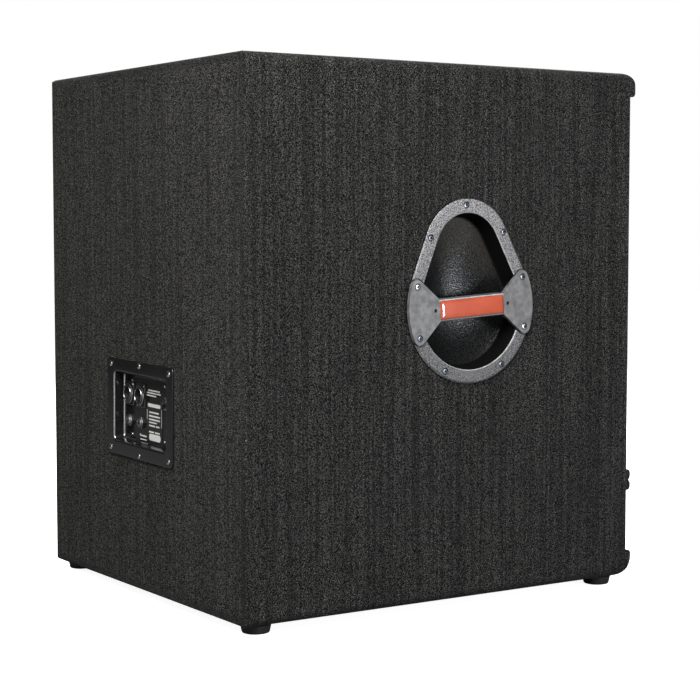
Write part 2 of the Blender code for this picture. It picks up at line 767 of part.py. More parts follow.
def hull_outline(shrink, reach=0.0):
    """Hull of the handle's two circles, both made smaller by shrink, at height w=reach."""
    low_radius = HANDLE_LOW_RADIUS - shrink
    top_radius = HANDLE_TOP_RADIUS - shrink
    lean = math.asin((HANDLE_LOW_RADIUS - HANDLE_TOP_RADIUS) / HANDLE_RISE)
    points = []
    arcs = ((HANDLE_RISE, top_radius, lean, math.pi - lean, 6),
            (0.0, low_radius, math.pi - lean, 2 * math.pi + lean, 14))
    for height, radius, start, end, steps in arcs:
        for step in range(steps + 1):
            angle = start + (end - start) * step / steps
            points.append((radius * math.cos(angle), height + radius * math.sin(angle), reach))
    return points


def handle_opening(side):
    """Cutter through the carpet and the panel for a handle's cup."""
    shrink = HANDLE_RIM - HANDLE_WALL - 0.0025
    loops = [hull_outline(shrink, -PAST), hull_outline(shrink, PAST)]
    return loft("opening", loops, frame=handle_frame(side), location=handle_place(side))


def handle_cup(name, side):
    """Flange with a deep bowl behind it, one moulding."""
    face = GAP + HANDLE_FLANGE
    floor = HANDLE_RIM + BOWL_FLOOR_SHRINK
    loops = [hull_outline(floor, GAP - HANDLE_DEPTH)]
    loops += [hull_outline(HANDLE_RIM + shrink, reach) for shrink, reach in reversed(BOWL_WALL)]
    loops.append(hull_outline(HANDLE_RIM, face))
    loops += [hull_outline(0.0015, face), hull_outline(0.0, face - 0.0015), hull_outline(0.0, GAP)]
    loops.append(hull_outline(HANDLE_RIM - HANDLE_WALL, GAP))
    for shrink, reach in BOWL_WALL:
        loops.append(hull_outline(HANDLE_RIM + shrink - HANDLE_WALL, reach - HANDLE_WALL))
    loops.append(hull_outline(floor - 0.002, GAP - HANDLE_DEPTH - HANDLE_WALL))
    cup = loft(
        name, loops, "grey_plastic", handle_frame(side), location=handle_place(side), smooth=True
    )
    holes = [handle_hole(side, place) for place in HANDLE_SCREWS + EAR_SCREWS]
    combine(cup, holes)


def handle_hole(side, place):
    """Cutter for one of a handle's screws."""
    loops = []
    for reach in (-PAST / 2, PAST):
        loops.append([(u, v, reach) for u, v in circle(HANDLE_SCREW_HOLE, place, 8)])
    return loft("hole", loops, frame=handle_frame(side), location=handle_place(side))


def raised(outline, low, high):
    """An outline's two loops, at a low and a high w."""
    return [[(u, v, w) for u, v in outline] for w in (low, high)]


def ear_outline(end):
    """Outline of one ear: an arc that follows the flange, and edges that run in to the bar."""
    radius = HANDLE_LOW_RADIUS - EAR_EDGE
    swing = math.asin(EAR_REACH / radius)
    points = []
    for step in range(7):
        angle = swing * (step / 3 - 1)
        points.append((end * radius * math.cos(angle), radius * math.sin(angle)))
    inner, root = end * (BAR_HALF - 0.006), BAR_HEIGHT / 2 - 0.002
    points += [(end * EAR_SHOULDER, EAR_REACH), (inner, root)]
    points += [(inner, -root), (end * EAR_SHOULDER, -EAR_REACH)]
    return points


def handle_bar(name, side):
    """Grip bar with an ear at each end, and a shallow seat for the badge."""
    low = 2 * GAP + HANDLE_FLANGE
    top = low + EAR_THICK
    place = {"frame": handle_frame(side), "location": handle_place(side)}
    grip = [(u, v) for u, v, _ in rectangle(2 * BAR_HALF, BAR_HEIGHT)]
    made = loft(name, raised(grip, low - BAR_DEPTH, top), "grey_plastic", **place)
    ears = [loft("ear", raised(ear_outline(end), low, top + EAR_PROUD), **place) for end in (-1, 1)]
    combine(made, ears, "UNION")
    seat = [(u, v) for u, v, _ in rectangle(BADGE_SIZE[0] + 2 * BADGE_GAP, BADGE_SIZE[1] + 2 * BADGE_GAP)]
    cutters = [loft("seat", raised(seat, top - BADGE_THICK, top + PAST), **place)]
    cutters += [handle_hole(side, hole) for hole in EAR_SCREWS]
    combine(made, cutters)


def handle_badge(name, side):
    """Domed badge let into the middle of the bar, left blank."""
    floor = 3 * GAP + HANDLE_FLANGE + EAR_THICK - BADGE_THICK
    outline = rounded(rectangle(*BADGE_SIZE, 0.003))
    crown = rounded(rectangle(BADGE_SIZE[0] - 2 * BADGE_BORDER, BADGE_SIZE[1] - 2 * BADGE_BORDER, 0.002))
    loops = [
        [(u, v, floor) for u, v in outline],
        [(u, v, floor + BADGE_THICK * 0.8) for u, v in outline],
        [(u, v, floor + BADGE_THICK * 1.5) for u, v in crown],
    ]
    loft(name, loops, "badge_red", handle_frame(side), location=handle_place(side), smooth=True)


def handles():
    """A handle in each side."""
    for word, side in (("left", -1), ("right", 1)):
        handle_cup(f"handle_cup_{word}", side)
        handle_bar(f"handle_bar_{word}", side)
        handle_badge(f"handle_badge_{word}", side)


# ---- jack plate ------------------------------------------------------------------------

def on_plate(points):
    """(x, z) on the rear of points given from the jack plate's centre, along and up the plate."""
    turn, lean = math.cos(PLATE_TILT), math.sin(PLATE_TILT)
    return [(PLATE_X + u * turn - v * lean, PLATE_Z + u * lean + v * turn) for u, v in points]


def plate_screw_places():
    """(x, z) of the six screws round the jack plate."""
    across, up = PLATE_CORNER_SCREWS
    places = []
    for level in (-1, 1):
        places += [(-across, level * up), (0.0, level * PLATE_MIDDLE_SCREWS), (across, level * up)]
    return on_plate(places)


def tray_hole():
    """Cutter that clears the jack plate's tray."""
    wide, tall = (size + 2 * TRAY_CLEARANCE for size in TRAY_SIZE)
    outline = on_plate(rounded(rectangle(wide, tall, PLATE_RADIUS)))
    return prism("tray", "Y", outline, BACK_BOARD_Y - PAST, REAR_Y + PAST)


def plate_hole(place, radius):
    """Cutter for one of the jack plate's screws, which stops inside the back panel."""
    outline = circle(radius, place, SCREW_SEGMENTS)
    return prism("hole", "Y", outline, BACK_BOARD_Y + 0.002, REAR_Y + PAST)


def tray_loop(size, grow, radius, y):
    """Rounded rectangle of the jack plate at depth y, its size grown on every side."""
    wide, tall = (length + 2 * grow for length in size)
    return [(x, y, z) for x, z in on_plate(rounded(rectangle(wide, tall, radius)))]


def jack_plate():
    """Moulded plate: a flange round a recessed tray that holds the sockets."""
    chamfer = 0.001
    back = REAR_Y + GAP
    loops = [
        tray_loop(TRAY_FLOOR, 0.0, 0.004, TRAY_Y),
        tray_loop(TRAY_SIZE, 0.0, 0.006, PLATE_FACE_Y),
        tray_loop(PLATE_SIZE, -chamfer, PLATE_RADIUS - chamfer, PLATE_FACE_Y),
        tray_loop(PLATE_SIZE, 0.0, PLATE_RADIUS, PLATE_FACE_Y - chamfer),
        tray_loop(PLATE_SIZE, 0.0, PLATE_RADIUS, back),
        tray_loop(TRAY_SIZE, TRAY_WALL, 0.007, back),
        tray_loop(TRAY_FLOOR, TRAY_WALL, 0.005, TRAY_Y - TRAY_WALL),
    ]
    plate = loft("jack_plate", loops, "gloss_plastic")
    holes = [plate_hole(place, PLATE_HOLE_RADIUS) for place in plate_screw_places()]
    bores = [(x, SOCKET_RISE, SOCKET_BODY_RADIUS) for x in SOCKET_X]
    bores += [(x, JACK_RISE, JACK_BUSH_RADIUS) for x in SOCKET_X]
    bores.append((BREAKER_X, BREAKER_RISE, BREAKER_NECK_RADIUS))
    for x, rise, radius in bores:
        outline = circle(radius + BORE_CLEARANCE, *on_plate([(x, rise)]), SMALL_SEGMENTS)
        holes.append(prism("bore", "Y", outline, TRAY_Y - PAST, TRAY_Y + PAST / 2))
    combine(plate, holes)


def speaker_sockets():
    """Locking speaker sockets: a square flange, a collar and a keyed barrel round a core."""
    profile = [
        (0.0, SOCKET_CORE_FRONT),
        (SOCKET_CORE_RADIUS, SOCKET_CORE_FRONT),
        (SOCKET_CORE_RADIUS, SOCKET_RING_BACK),
        (SOCKET_RING_RADIUS, SOCKET_RING_BACK),
        (SOCKET_RING_RADIUS, SOCKET_COLLAR_FRONT),
        (SOCKET_COLLAR_RADIUS - 0.0006, SOCKET_COLLAR_FRONT),
        (SOCKET_COLLAR_RADIUS, SOCKET_COLLAR_FRONT - 0.001),
        (SOCKET_COLLAR_RADIUS, 0.0010),
        (SOCKET_BODY_RADIUS, 0.0008),
        (SOCKET_BODY_RADIUS, SOCKET_BACK),
        (0.0, SOCKET_BACK),
    ]
    outline = [
        (x - PLATE_X, z - PLATE_Z) for x, z in on_plate(rounded(rectangle(*SOCKET_FLANGE, 0.0015)))
    ]
    hole = circle(SOCKET_BODY_RADIUS - 0.0008, sides=SMALL_SEGMENTS)
    places = on_plate([(x, SOCKET_RISE) for x in SOCKET_X])
    for index, (x, z) in enumerate(places):
        here = {"location": (x, TRAY_Y, z)}
        name = f"speaker_socket_{index + 1}"
        barrel = turned(name, profile, "black_plastic", SMALL_SEGMENTS, **here)
        flange = prism("flange", "Y", outline, GAP, SOCKET_FLANGE_FRONT, **here)
        combine(flange, [prism("inner", "Y", hole, -CARPET, CARPET, **here)])
        combine(barrel, [flange], "UNION")


def phone_jacks():
    """Quarter-inch jacks: threaded bush with its nut in front, body behind."""
    profile = [
        (0.0, JACK_BACK),
        (0.0, JACK_BORE_BACK),
        (JACK_BORE, JACK_BORE_BACK),
        (JACK_BORE, JACK_BUSH_FRONT),
        (JACK_BUSH_RADIUS - 0.0004, JACK_BUSH_FRONT),
        (JACK_BUSH_RADIUS, JACK_BUSH_FRONT - 0.001),
        (JACK_BUSH_RADIUS, JACK_NUT_FRONT),
        (JACK_NUT_RADIUS, JACK_NUT_FRONT),
        (JACK_NUT_RADIUS, GAP),
        (JACK_BUSH_RADIUS, GAP),
        (JACK_BUSH_RADIUS, BEHIND_TRAY),
        (JACK_BODY_RADIUS, BEHIND_TRAY),
        (JACK_BODY_RADIUS, JACK_BACK),
    ]
    places = on_plate([(x, JACK_RISE) for x in SOCKET_X])
    for index, (x, z) in enumerate(places):
        name = f"phone_jack_{index + 1}"
        turned(name, profile, "black_plastic", SMALL_SEGMENTS, location=(x, TRAY_Y, z))


def breaker():
    """Thermal breaker that protects the driver, with its reset button."""
    well = BUTTON_RADIUS + BUTTON_CLEARANCE
    bezel = BREAKER_BEZEL_RADIUS
    body_profile = [
        (0.0, BREAKER_BACK),
        (0.0, BUTTON_WELL),
        (well, BUTTON_WELL),
        (well, BREAKER_BEZEL_FRONT),
        (bezel - 0.0014, BREAKER_BEZEL_FRONT),
        (bezel, BREAKER_BEZEL_FRONT - 0.0014),
        (bezel, GAP),
        (BREAKER_NECK_RADIUS, GAP),
        (BREAKER_NECK_RADIUS, BEHIND_TRAY),
        (BREAKER_BODY_RADIUS, BEHIND_TRAY),
        (BREAKER_BODY_RADIUS, BREAKER_BACK),
    ]
    button_profile = [
        (0.0, BUTTON_BACK),
        (BUTTON_RADIUS, BUTTON_BACK),
        (BUTTON_RADIUS, BUTTON_FRONT - 0.001),
        (BUTTON_RADIUS - 0.0008, BUTTON_FRONT - 0.0002),
        (0.0, BUTTON_FRONT),
    ]
    x, z = on_plate([(BREAKER_X, BREAKER_RISE)])[0]
    here = {"location": (x, TRAY_Y, z)}
    turned("breaker_body", body_profile, "black_plastic", SMALL_SEGMENTS, **here)
    turned("reset_button", button_profile, "black_plastic", SMALL_SEGMENTS, **here)


def plate_fittings():
    """Blank label on the tray's floor and the six screws that hold the plate."""
    outline = on_plate(rounded(rectangle(*LABEL_SIZE, LABEL_RADIUS, (LABEL_X, LABEL_RISE))))
    prism("rating_label", "Y", outline, TRAY_Y + GAP, TRAY_Y + LABEL_FACE, "paper_label")
    seat = PLATE_FACE_Y + GAP
    crown = REAR_Y + REAR_PROUD - seat
    profile = [
        (0.0, crown),
        (PLATE_SCREW_HEAD - 0.0013, crown * 0.8),
        (PLATE_SCREW_HEAD, crown * 0.3),
        (PLATE_SCREW_HEAD, 0.0),
        (PLATE_SCREW_SHANK, 0.0),
        (PLATE_SCREW_SHANK, 0.002 - PLATE_SCREW_LENGTH),
        (0.0, -PLATE_SCREW_LENGTH),
    ]
    for index, (x, z) in enumerate(plate_screw_places()):
        turned(f"plate_screw_{index + 1}", profile, "zinc", SCREW_SEGMENTS, location=(x, seat, z))


# ---- driver ----------------------------------------------------------------------------

def cone_depth(radius):
    """Depth of the cone's front surface at a radius."""
    part = (radius - CONE_NECK[0]) / (CONE_RIM[0] - CONE_NECK[0])
    return CONE_NECK[1] + (CONE_RIM[1] - CONE_NECK[1]) * part ** CONE_CURVE


def surround_depth(radius):
    """Depth of the middle of the surround: a lip on the cone, two rolls and a flat edge."""
    lip = cone_depth(min(radius, CONE_RIM[0])) - SURROUND_THICK
    flat = FLANGE_FRONT - SURROUND_DROP
    part = (radius - CONE_RIM[0]) / (SURROUND_OUTER - CONE_RIM[0])
    if part <= 0:
        return lip
    if part >= 1:
        return flat
    return lip + (flat - lip) * part - ROLL_HEIGHT / 2 * (1 - math.cos(4 * math.pi * part))


def spider_depth(radius):
    """Depth of the middle of the spider: rings of waves inside a flat edge."""
    waved = SPIDER_OUTER - SPIDER_FLAT
    if radius >= waved:
        return SPIDER_DEPTH
    turn = 2 * math.pi * SPIDER_WAVES * (waved - radius) / (waved - COIL_RADIUS)
    return SPIDER_DEPTH - SPIDER_WAVE * (1 - math.cos(turn))


def sheet_profile(depth, radii, thick):
    """Closed profile of a thin turned sheet round its middle line."""
    front = [(radius, depth(radius) - thick / 2) for radius in radii]
    back = [(radius, depth(radius) + thick / 2) for radius in reversed(radii)]
    return front + back


def spread(start, end, steps):
    """Evenly spaced values, both ends included."""
    return [start + (end - start) * step / steps for step in range(steps + 1)]


def basket():
    """Cast frame: bolt flange, spokes and the ring that carries the spider and the magnet."""
    profile = [
        (BASKET_MOUTH, FLANGE_FRONT),
        (FLANGE_RADIUS, FLANGE_FRONT),
        (FLANGE_RADIUS, -GAP),
        *BASKET_OUTSIDE,
        (BASKET_RING, BASKET_BACK),
        (BASKET_BORE, BASKET_BACK),
        (BASKET_BORE, BASKET_INSIDE[0][1]),
        *BASKET_INSIDE,
        (BASKET_MOUTH, 0.008),
    ]
    made = turned("woofer_basket", profile, "cast_alloy")
    (inner_radius, inner_half), (outer_radius, outer_half) = SPOKE_GAP
    windows = []
    for index in range(SPOKES):
        middle = 2 * math.pi * (index + 0.5) / SPOKES
        wedge = []
        for radius, half in ((inner_radius, -inner_half), (outer_radius, outer_half)):
            for angle in spread(middle - half, middle + half, 3):
                wedge.append((radius * math.cos(angle), radius * math.sin(angle)))
        windows.append(prism("window", "Y", wedge, *SPOKE_GAP_DEPTHS))
    combine(made, windows)
    return made


def moving_pieces(carrier):
    """Cone, dust cap and voice coil, which slide together on the driver's axis."""
    radii = spread(CONE_NECK[0], CONE_RIM[0], 5)
    front = [(radius, cone_depth(radius)) for radius in radii]
    back = [(radius, depth + CONE_THICK) for radius, depth in reversed(front)]
    cone = turned("woofer_cone", front + back, "paper_cone")
    base = cone_depth(DUST_CAP_RADIUS) - DUST_CAP_SEAT
    cap_radii = spread(0.0, DUST_CAP_RADIUS, 4)
    inner = [(r, base - DUST_CAP_RISE * (1 - (r / DUST_CAP_RADIUS) ** 2)) for r in cap_radii]
    outer = [(r, depth - DUST_CAP_THICK) for r, depth in reversed(inner)]
    cap = turned("woofer_dust_cap", inner + outer, "paper_cone")
    winding = rectangle_profile((COIL_RADIUS, COIL_RADIUS + COIL_WALL), COIL_DEPTHS)
    coil = turned("woofer_voice_coil", winding, "copper")
    for piece in (cone, cap, coil):
        piece.parent = carrier


def suspension():
    """Surround and spider, which flex as the cone travels."""
    lip = spread(SURROUND_LIP, CONE_RIM[0], 2)
    rolls = spread(CONE_RIM[0], SURROUND_OUTER, 8)
    radii = lip + rolls[1:] + [SURROUND_EDGE]
    surround = turned("woofer_surround", sheet_profile(surround_depth, radii, SURROUND_THICK), "rubber")
    inner = COIL_RADIUS + COIL_WALL + SPIDER_TO_COIL
    waves = spread(inner, SPIDER_OUTER - SPIDER_FLAT, 4 * SPIDER_WAVES)
    radii = waves + [SPIDER_OUTER]
    spider = turned("woofer_spider", sheet_profile(spider_depth, radii, SPIDER_THICK), "impregnated_cloth")
    return [surround, spider, gasket()]


def gasket():
    """Ring that clamps the surround's edge."""
    inner, outer = GASKET_RADII
    back = FLANGE_FRONT - 2 * SURROUND_DROP
    front = back - GASKET_THICK
    profile = [
        (inner, front + 0.0005),
        (inner + 0.001, front),
        (outer - 0.001, front),
        (outer, front + 0.0005),
        (outer, back),
        (inner, back),
    ]
    return turned("woofer_gasket", profile, "rubber")


def motor():
    """Front plate, ferrite ring, and yoke with the vented pole."""
    plate_front = BASKET_BACK + GAP
    plate_back = MAGNET_FRONT - GAP
    plate = rectangle_profile((PLATE_BORE, TOP_PLATE_RADIUS), (plate_front, plate_back))
    top_plate = turned("woofer_top_plate", plate, "zinc")
    inner, outer = MAGNET_RADII
    ring = [
        (inner, MAGNET_FRONT),
        (outer - MAGNET_CHAMFER, MAGNET_FRONT),
        (outer, MAGNET_FRONT + MAGNET_CHAMFER),
        (outer, MAGNET_BACK - MAGNET_CHAMFER),
        (outer - MAGNET_CHAMFER, MAGNET_BACK),
        (inner, MAGNET_BACK),
    ]
    magnet = turned("woofer_magnet", ring, "ferrite")
    yoke_front = MAGNET_BACK + GAP
    yoke_back = yoke_front + YOKE_THICK
    pole = [
        (VENT_RADIUS, plate_front),
        (POLE_PIECE_RADIUS, plate_front),
        (POLE_PIECE_RADIUS, yoke_front),
        (YOKE_RADIUS, yoke_front),
        (YOKE_RADIUS, yoke_back - YOKE_CHAMFER),
        (YOKE_RADIUS - YOKE_CHAMFER, yoke_back),
        (VENT_RADIUS, yoke_back),
    ]
    yoke = turned("woofer_back_plate", pole, "zinc")
    return [top_plate, magnet, yoke]


def rectangle_profile(radii, depths):
    """Closed profile of a plain turned ring."""
    return [(radii[0], depths[0]), (radii[1], depths[0]), (radii[1], depths[1]), (radii[0], depths[1])]


def driver():
    """Every piece of the 18 inch driver, in place behind the baffle's front face."""
    centre = (0.0, BAFFLE_Y, DRIVER_Z)
    carrier = axis_empty("cone_axis", centre)
    moving_pieces(carrier)
    terminal = block(
        "woofer_terminal",
        (-TERMINAL_HALF, TERMINAL_HALF),
        TERMINAL_DEPTHS,
        (BASKET_RING + GAP, BASKET_RING + TERMINAL_HEIGHT),
        "black_plastic",
    )
    for piece in [basket(), terminal] + suspension() + motor():
        piece.location = centre


# ---- crossover and wiring --------------------------------------------------------------

def crossover():
    """Low-pass board on the back panel with its choke and capacitor."""
    back = BACK_BOARD_Y - GAP
    face = back - BOARD_THICK
    half_wide, half_tall = (size / 2 for size in CROSSOVER_SIZE)
    height = (CROSSOVER_Z - half_tall, CROSSOVER_Z + half_tall)
    block("crossover_board", (-half_wide, half_wide), (face, back), height, "circuit_board")
    inner, outer = CHOKE_RADII
    winding = [
        (inner, 0.0),
        (outer - CHOKE_CORNER, 0.0),
        (outer, -CHOKE_CORNER),
        (outer, CHOKE_CORNER - CHOKE_WIDTH),
        (outer - CHOKE_CORNER, -CHOKE_WIDTH),
        (inner, -CHOKE_WIDTH),
    ]
    place = (CHOKE_X, face - GAP, CROSSOVER_Z)
    turned("crossover_coil", winding, "copper", SMALL_SEGMENTS, location=place)
    end = CAPACITOR_LENGTH / 2
    can_profile = [
        (0.0, -end),
        (CAPACITOR_RADIUS - CAPACITOR_CORNER, -end),
        (CAPACITOR_RADIUS, CAPACITOR_CORNER - end),
        (CAPACITOR_RADIUS, end - CAPACITOR_CORNER),
        (CAPACITOR_RADIUS - CAPACITOR_CORNER, end),
        (0.0, end),
    ]
    place = (CAPACITOR_X, face - 2 * GAP - CAPACITOR_RADIUS, CROSSOVER_Z)
    can = turned("crossover_capacitor", can_profile, "gloss_plastic", SMALL_SEGMENTS, location=place)
    can.data.transform(Matrix.Rotation(math.pi / 2, 4, "X"))


def wiring():
    """Lead from the sockets to the crossover, and lead from the crossover to the driver."""
    face = BACK_BOARD_Y - GAP - BOARD_THICK
    between_sockets = PLATE_X + sum(SOCKET_X) / 2
    start_y = TRAY_Y + JACK_BACK
    input_route = [
        (between_sockets, start_y + 0.002, PLATE_Z + 0.004),
        (between_sockets, start_y - 0.022, PLATE_Z + 0.010),
        (0.030, start_y - 0.032, PLATE_Z + 0.060),
        (0.020, face - 0.030, CROSSOVER_Z - 0.070),
        (0.016, face - 0.018, CROSSOVER_Z - 0.040),
        (0.014, face - 0.004, CROSSOVER_Z - 0.032),
    ]
    tube("input_cable", input_route, CABLE_RADIUS, "cable_sheath")
    terminal_top = DRIVER_Z + BASKET_RING + TERMINAL_HEIGHT
    speaker_route = [
        (0.012, face - 0.004, CROSSOVER_Z + 0.034),
        (0.012, face - 0.030, CROSSOVER_Z + 0.050),
        (0.070, BRACE_Y + 0.080, CROSSOVER_Z + 0.030),
        (0.110, BRACE_Y + 0.008, CROSSOVER_Z + 0.020),
        (0.100, BRACE_Y - 0.080, CROSSOVER_Z + 0.110),
        (0.030, BAFFLE_Y + 0.115, terminal_top + 0.022),
        (0.004, BAFFLE_Y + 0.107, terminal_top + 0.004),
    ]
    tube("speaker_cable", speaker_route, CABLE_RADIUS, "cable_sheath")


def clear_scene():
    """Remove whatever the open file holds."""
    for old in list(bpy.data.objects):
        bpy.data.objects.remove(old)


def build():
    """Model every piece of the cabinet."""
    clear_scene()
    side_panels()
    end_panels()
    back_panel()
    inner_boards()
    rails()
    carpet()
    grille()
    feet()
    pole_socket()
    handles()
    jack_plate()
    speaker_sockets()
    phone_jacks()
    breaker()
    plate_fittings()
    driver()
    crossover()
    wiring()


build()
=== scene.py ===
import math

import bmesh
import bpy
import numpy as np
from mathutils import Matrix, Vector


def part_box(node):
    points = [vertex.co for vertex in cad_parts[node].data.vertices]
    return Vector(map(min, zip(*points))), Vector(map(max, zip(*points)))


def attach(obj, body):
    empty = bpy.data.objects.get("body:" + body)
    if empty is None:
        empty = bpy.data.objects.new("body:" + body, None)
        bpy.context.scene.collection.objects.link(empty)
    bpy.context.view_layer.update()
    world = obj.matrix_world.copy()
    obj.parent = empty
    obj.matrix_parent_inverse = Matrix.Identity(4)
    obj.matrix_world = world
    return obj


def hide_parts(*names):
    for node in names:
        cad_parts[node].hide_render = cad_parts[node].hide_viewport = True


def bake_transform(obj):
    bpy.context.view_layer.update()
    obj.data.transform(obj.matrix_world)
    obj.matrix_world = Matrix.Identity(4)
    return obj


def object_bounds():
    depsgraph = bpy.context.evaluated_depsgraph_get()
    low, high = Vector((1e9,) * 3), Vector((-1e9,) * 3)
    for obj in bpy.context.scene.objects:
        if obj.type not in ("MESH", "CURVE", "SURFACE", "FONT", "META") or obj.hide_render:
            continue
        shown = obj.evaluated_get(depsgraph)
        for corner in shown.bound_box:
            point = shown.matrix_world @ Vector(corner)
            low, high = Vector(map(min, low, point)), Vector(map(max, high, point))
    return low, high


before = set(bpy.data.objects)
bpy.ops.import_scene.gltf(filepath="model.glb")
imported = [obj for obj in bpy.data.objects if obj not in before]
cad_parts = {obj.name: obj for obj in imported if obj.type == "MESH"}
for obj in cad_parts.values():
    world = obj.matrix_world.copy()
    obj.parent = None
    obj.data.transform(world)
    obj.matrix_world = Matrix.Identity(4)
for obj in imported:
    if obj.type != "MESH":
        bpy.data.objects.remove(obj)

cad_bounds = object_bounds()

# ---- places taken from the frame ----
COVER_LOW, COVER_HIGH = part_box("carpet_cover")
REAR_LOW, REAR_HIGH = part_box("carpet_rear")
GRILLE_LOW, GRILLE_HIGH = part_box("grille")
SHELF_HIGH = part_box("port_shelf")[1]
BAFFLE_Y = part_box("front_baffle")[0].y
SIDE_X = COVER_HIGH.x
FRONT_Y = COVER_LOW.y
REAR_Y = COVER_HIGH.y
BASE_Z = COVER_LOW.z
TOP_Z = COVER_HIGH.z
CARPET = 0.003  # thickness of the carpet
GAP = 0.0003  # air between a fitting and what it lies on
PAST = 0.03  # how far a cutter reaches past a surface
EDGE_Y = GRILLE_LOW.y - CARPET
TOP_RAIL_LOW = GRILLE_HIGH.z + 0.001
MID_RAIL_HIGH = GRILLE_LOW.z - 0.001
MID_RAIL_LOW = MID_RAIL_HIGH - 0.029
MID_Y = EDGE_Y - 0.007
BOTTOM_RAIL_HIGH = BASE_Z + 0.0355
OPENING_HALF = GRILLE_HIGH.x + 0.0016


# ---- materials ----

def rgba(colour):
    """Red, green, blue and alpha of a colour or a grey."""
    return (*colour, 1) if isinstance(colour, tuple) else (colour, colour, colour, 1)


def scaled(colour, factor):
    return tuple(part * factor for part in colour)


class Graph:
    """A node material that is built by calls: add a node, feed it sockets or values."""

    def __init__(self, name, roughness, metallic=0.0):
        self.material = bpy.data.materials.new(name)
        self.material.use_nodes = True
        self.tree = self.material.node_tree
        self.shader = self.tree.nodes["Principled BSDF"]
        self.feed(self.shader, Roughness=roughness, Metallic=metallic)
        self.place = self.add("TexCoord").outputs["Object"]

    def put(self, socket, value):
        """Link an input to an output, or give it a value."""
        if isinstance(value, bpy.types.NodeSocket):
            self.tree.links.new(value, socket)
        else:
            socket.default_value = rgba(value) if socket.type == "RGBA" else value

    def feed(self, node, **inputs):
        for name, value in inputs.items():
            self.put(node.inputs[name.replace("_", " ")], value)

    def add(self, kind, settings=None, **inputs):
        node = self.tree.nodes.new("ShaderNode" + kind)
        for name, value in (settings or {}).items():
            setattr(node, name, value)
        self.feed(node, **inputs)
        return node

    def noise(self, scale, detail, stretch=(1, 1, 1)):
        """Noise in metres: scale is in features a metre, stretch multiplies it along each axis."""
        where = self.add("Mapping", Vector=self.place, Scale=stretch).outputs["Vector"]
        return self.add("TexNoise", Vector=where, Scale=scale, Detail=detail).outputs["Fac"]

    def along(self, axis, vector=None):
        """One coordinate of the shaded place, or of another vector."""
        return self.add("SeparateXYZ", Vector=vector or self.place).outputs[axis]

    def ramp(self, value, stops):
        """Colour ramp from (position, colour or grey) stops."""
        node = self.add("ValToRGB", Fac=value)
        elements = node.color_ramp.elements
        while len(elements) < len(stops):
            elements.new(0.5)
        for element, (position, colour) in zip(elements, stops):
            element.position = position
            element.color = rgba(colour)
        return node.outputs["Color"]

    def math(self, operation, a, b=0.0):
        node = self.add("Math", {"operation": operation})
        self.put(node.inputs[0], a)
        self.put(node.inputs[1], b)
        return node.outputs["Value"]

    def weighted(self, a, share_a, b, share_b):
        """Sum of two values, each times its share."""
        return self.math("ADD", self.math("MULTIPLY", a, share_a), self.math("MULTIPLY", b, share_b))

    def mix(self, factor, a, b, blend="MIX"):
        node = self.add("Mix", {"data_type": "RGBA", "blend_type": blend})
        for index, value in ((0, factor), (6, a), (7, b)):
            self.put(node.inputs[index], value)
        return node.outputs[2]

    def times(self, colour, other):
        return self.mix(1.0, colour, other, "MULTIPLY")

    def bump(self, height, distance, strength, **under):
        made = self.add("Bump", Height=height, Distance=distance, Strength=strength, **under)
        return made.outputs["Normal"]

    def done(self, **inputs):
        self.feed(self.shader, **inputs)
        return self.material


def carpet_material(name, ribs, tint, squash=1.0):
    """Needle-felt carpet: matted fibres, pale specks and faint ribs, which vary along one axis."""
    graph = Graph(name, 0.95)
    stretch = tuple(1.0 if axis == ribs else 0.015 for axis in "XYZ")
    across = tuple(squash if axis == ribs else 1.0 for axis in "XYZ")
    level = graph.weighted(graph.noise(980, 0.0, across), 0.76, graph.noise(600, 0.0, across), 0.24)
    lines = graph.weighted(graph.noise(150, 0.0, stretch), 0.30, graph.noise(330, 0.0, stretch), 0.70)
    fibres = [(0.43, scaled(tint, 0.0004)), (0.50, scaled(tint, 0.0055)), (0.575, scaled(tint, 0.053))]
    pale = graph.ramp(graph.noise(760, 0.0, across), [(0.70, 0.0), (0.74, 1.0)])
    colour = graph.mix(pale, graph.ramp(level, fibres), scaled(tint, 0.15))
    colour = graph.times(colour, graph.ramp(lines, [(0.36, 0.70), (0.64, 1.30)]))
    colour = graph.times(colour, graph.ramp(graph.noise(9, 3.0), [(0.3, 0.97), (0.7, 1.03)]))
    rough = graph.bump(level, 0.0010, 0.7, Normal=graph.bump(lines, 0.0005, 0.5))
    return graph.done(Base_Color=colour, Normal=rough, Sheen_Weight=0.03, Sheen_Roughness=0.6,
                      Specular_IOR_Level=0.1)


def plastic(name, colour, roughness, grain, pitch, spread=0.15, mottle=9):
    """Moulded plastic: fine grain, slight tone changes and handling wear in the gloss."""
    graph = Graph(name, roughness)
    tones = [(0.3, scaled(colour, 1 - spread)), (0.7, scaled(colour, 1 + spread))]
    base = graph.ramp(graph.noise(mottle, 4.0), tones)
    wear = [(0.35, roughness * 0.85), (0.7, min(roughness * 1.2, 1.0))]
    gloss = graph.ramp(graph.noise(60, 5.0), wear)
    normal = graph.bump(graph.noise(pitch, 2.0), 0.0004, grain)
    return graph.done(Base_Color=base, Roughness=gloss, Normal=normal)


